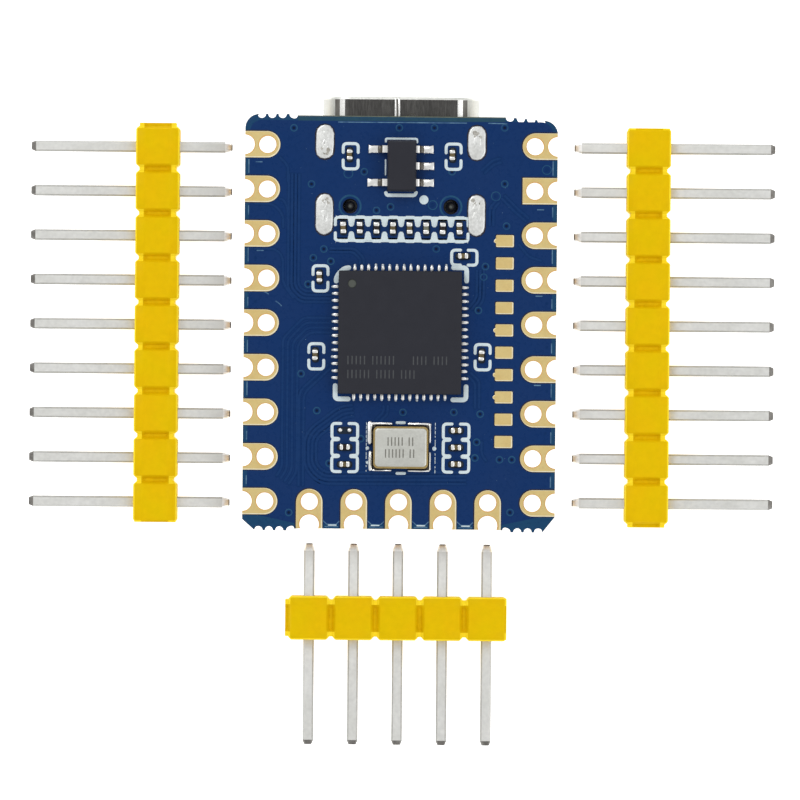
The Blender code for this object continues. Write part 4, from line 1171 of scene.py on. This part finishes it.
# ---------------------------------------------------------------- underside
def refine(obj, finish, width, segments=3):
    """Gives a CAD node its finish and rounds its edges with modifiers, which leave its own mesh alone."""
    mesh = obj.data
    mesh.materials.clear()
    mesh.materials.append(M[finish])
    for polygon in mesh.polygons:
        polygon.material_index = 0
        polygon.use_smooth = True
    custom = mesh.attributes.get("custom_normal")
    if custom:
        mesh.attributes.remove(custom)
    weld = obj.modifiers.new("weld", "WELD")
    weld.merge_threshold = 1e-6
    bevel = obj.modifiers.new("bevel", "BEVEL")
    bevel.width = width * MM
    bevel.segments = segments
    bevel.limit_method = "ANGLE"
    bevel.angle_limit = math.radians(35)
    bevel.harden_normals = True
    return obj


def refine_underside():
    """The CAD's own pieces under the board."""
    nodes = frame["nodes"]
    refine(nodes["led_housing"], "led_body", 0.015, 1)
    refine(nodes["led_lens"], "led_lens", 0.03)
    refine(nodes["flash_chip"], "epoxy", 0.03)
    for name in ("boot", "reset"):
        refine(nodes[f"{name}_switch_base"], "switch_base", 0.05)
        refine(nodes[f"{name}_switch_cover"], "switch_cover", 0.03)
        dome = refine(nodes[f"{name}_switch_dome"], "dome", 0.008, 1)
        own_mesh(dome)
        refine(nodes[f"{name}_button"], "button", 0.04)


def make_underside():
    """Marks, solder and the colour LED's dies, all drawn as seen from below."""
    level = -BOTTOM
    silk = bmesh.new()
    for node, margin in (("flash_chip", 0.45), ("boot_switch_base", 0.55), ("reset_switch_base", 0.55)):
        x, y, size = place_of(node)
        w, h = size.x / 2 + margin, size.y / 2 + 0.25
        for across, down in CORNERS:
            corner = [(across * w, down * (h - 0.5)), (across * w, down * h), (across * (w - 0.5), down * h)]
            plate(silk, stroke(moved(corner, x, -y), 0.15, 0.08), level, level + LAYER + 0.012)
    piece("silkscreen_underside", silk, "silk", under=True, sharp=60)

    joints = bmesh.new()
    x, y, size = place_of("flash_chip")
    for side in SIDES:
        for i in range(4):
            foot = rounded(0.42, 0.26, 0.08, x + side * (size.x / 2 + 0.12), -y + 0.5 * (i - 1.5), 3)
            mound(joints, foot, level, 0.12, 0.1, 0, 4)
    piece("flash_solder", joints, "tin", under=True, sharp=60)

    joints, dies = bmesh.new(), bmesh.new()
    x, y, size = place_of("led_housing")
    for side, row in CORNERS:
        foot = rounded(0.6, 0.9, 0.12, x + side * (size.x / 2 + 0.05), -y + row * 0.8, 3)
        mound(joints, foot, level, 0.28, 0.16, 0, 4)
    for dx, dy, half in ((-0.5, 0.45, 0.15), (0.1, 0.5, 0.15), (0.5, -0.2, 0.15), (-0.35, -0.4, 0.275)):
        a, b = x + dx, -y + dy
        box(dies, (a - half, b - half, level + 0.56), (a + half, b + half, level + 0.68), 0, 0.02)
    piece("led_solder", joints, "tin", under=True, sharp=60)
    piece("led_dies", dies, "led_die", under=True)

    for name in ("boot", "reset"):
        x, y, size = place_of(f"{name}_switch_base")
        tabs = bmesh.new()
        for side, row in CORNERS:
            tab = rounded(0.7, 0.6, 0.08, x + side * (size.x / 2 + 0.2), -y + row, 3)
            plate(tabs, tab, level, level + 0.12, 0, bevel=(0.03, 0.03))
            foot = rounded(0.4, 0.8, 0.12, x + side * (size.x / 2 + 0.42), -y + row, 3)
            mound(tabs, foot, level, 0.16, 0.14, 0, 4)
        piece(f"{name}_switch_solder", tabs, "tin", under=True, sharp=60)


# ---------------------------------------------------------------- headers
def housing(count):
    """Bevelled blocks joined by necks along X, about the origin, with the stub of one more neck at -X."""
    bm = bmesh.new()
    full, half = HOUSING / 2, BLOCK / 2
    slope = (PITCH - BLOCK - 0.16) / 2
    places = row_places(count)
    neck = (full - 0.2, full - 0.14, 0.16)
    shoulder = (full - 0.04, full - 0.04, 0.02)
    face = (full, full, 0.0)
    stations = [(places[0] - half - 0.3, neck)]
    for x in places:
        stations += [(x - half - slope, neck), (x - half, shoulder), (x - half + 0.07, face)]
        stations += [(x + half - 0.07, face), (x + half, shoulder), (x + half + slope, neck)]
    stations[-1] = (places[-1] + half + 0.1, (full - 0.08, full - 0.08, 0.0))
    loops = [[(x, y, z) for y, z in neck_section(*section)] for x, section in stations]
    # On the slopes and necks, the middle of the upper and lower faces is painted darker as shade and the
    # rest as a highlight; the blocks' upper long edges and the +X end are painted as highlights, and the -X
    # stub's end as shade.
    loft(bm, loops, [0 if i % 6 in (2, 3, 4) else 2 for i in range(len(loops) - 1)], (1, 2))
    for face in bm.faces:
        middle = face.calc_center_median()
        if face.material_index == 2 and abs(middle.y) < 0.7:
            face.material_index = 1
        if face.material_index == 0 and abs(middle.y) > full - 0.085 and middle.z > 0.6:
            face.material_index = 2
    return bm


def neck_section(across, up, dip):
    """A rounded block's cross-section, as (Y, height), with a trough of that depth in both flat faces."""
    edge = 0.09
    rounding = [(across, up - edge), (across - 0.03, up - 0.03), (across - edge, up)]
    quarter = rounding + [(0.78, up), (0.6, up - dip)]
    upper = quarter + [(-a, b) for a, b in quarter[::-1]]
    return upper + [(-a, -b) for a, b in upper]


def pin():
    """A square pin with broken edges along Y, its short end towards +Y."""
    bm = bmesh.new()
    start, end = -HOUSING / 2 - LONG_PIN, HOUSING / 2 + SHORT_PIN
    stations = ((start, 0.4), (start + 0.05, 0.46), (start + 0.26, PIN), (end - 0.42, PIN),
                (end - 0.06, 0.42), (end, 0.34))
    loops = [[(x, y, z) for x, z in rounded(width, width, width * 0.16, steps=1)] for y, width in stations]
    # The taper at the short end is painted as a highlight, and in the middle the sloping and side faces are
    # painted darker as shade.
    loft(bm, loops, (2, 2, 0, 3, 2), (2, 2))
    bm.normal_update()
    for face in bm.faces:
        if face.material_index == 0 and abs(face.normal.z) < 0.9:
            face.material_index = 1
    return bm


def make_headers():
    strips = (("left", SIDE_COUNT, -90), ("right", SIDE_COUNT, 90), ("bottom", END_COUNT, 0))
    for name, count, turn in strips:
        body = f"{name}_header"
        x, y, _ = place_of(f"{body}_housing")
        at = Vector((x, y, sum(heights(f"{body}_housing")) / 2))
        mats = "yellow yellow_groove yellow_bright"
        blocks = housing(count)
        piece(f"{name}_strip_blocks", blocks, mats, body, [f"{body}_housing"], at, turn)
        mats = "pin pin_edge pin_end pin_bright"
        for i, (along, aside) in enumerate(turned_about([(p, 0) for p in row_places(count)], turn), start=1):
            piece(f"{name}_strip_pin_{i}", pin(), mats, body, [f"{body}_pin_{i}"],
                  at + Vector((along, aside, 0)), turn, sharp=20)


# ---------------------------------------------------------------- floor, light and camera
def make_floor():
    mesh = bpy.data.meshes.new("floor")
    reach = 3.0
    mesh.from_pydata([(x * reach, y * reach, -0.00002) for x, y in rounded(2, 2)], [], [(0, 1, 2, 3)])
    floor = bpy.data.objects.new("floor", mesh)
    bpy.context.scene.collection.objects.link(floor)
    mesh.materials.append(M["floor"])


SKY = ((0.0, 0.65), (0.5, 0.8), (0.8, 0.85), (0.95, 0.72), (1.0, 0.62))  # height on the dome, brightness


def make_sky():
    """A soft studio dome, darker straight overhead where a camera would hang."""
    world = bpy.data.worlds.new("studio")
    bpy.context.scene.world = world
    world.use_nodes = True
    tree = world.node_tree
    coords = tree.nodes.new("ShaderNodeTexCoord")
    parts = tree.nodes.new("ShaderNodeSeparateXYZ")
    ramp = tree.nodes.new("ShaderNodeValToRGB")
    tree.links.new(coords.outputs["Generated"], parts.inputs["Vector"])
    tree.links.new(parts.outputs["Z"], ramp.inputs["Fac"])
    while len(ramp.color_ramp.elements) < len(SKY):
        ramp.color_ramp.elements.new(0.5)
    for element, (height, value) in zip(ramp.color_ramp.elements, SKY):
        element.position = height
        element.color = (value, value, value, 1.0)
    tree.links.new(ramp.outputs["Color"], tree.nodes["Background"].inputs["Color"])


def make_lamp(name, at, size, power):
    lamp = bpy.data.lights.new(name, "AREA")
    lamp.shape = "DISK"
    lamp.size = size
    lamp.energy = power
    obj = bpy.data.objects.new(name, lamp)
    bpy.context.scene.collection.objects.link(obj)
    obj.location = at
    obj.rotation_euler = (-Vector(at)).to_track_quat("-Z", "Y").to_euler()


def make_camera():
    data = bpy.data.cameras.new("camera")
    data.lens = LENS
    data.sensor_width = SENSOR
    data.clip_start = 0.01
    data.clip_end = 10.0
    camera = bpy.data.objects.new("camera", data)
    bpy.context.scene.collection.objects.link(camera)
    distance = PICTURE_WIDTH * LENS / SENSOR
    camera.location = Vector((CENTRE.x, CENTRE.y, 0)) + Vector((*PICTURE_CENTRE, TOP + distance)) * MM
    camera.rotation_euler = (0, 0, math.radians(ROLL))
    bpy.context.scene.camera = camera


# The order matters, because all these share one series of random draws
for make in (make_board, make_plated_pads, make_test_pads, make_vias, make_tracks, make_pour_edges,
             make_specks, make_silkscreen, make_mcu, make_regulator, make_crystal, make_chips,
             make_usb_shell, make_usb_contacts, make_leg_solder, make_peg_holes, refine_underside,
             make_underside, make_headers, make_floor, make_sky, make_camera):
    make()
make_lamp("key_lamp", (-0.12, 0.16, 0.26), 0.1, 0.21)
make_lamp("fill_lamp", (0.2, -0.05, 0.22), 0.16, 0.12)
bpy.context.scene.view_settings.view_transform = "Standard"
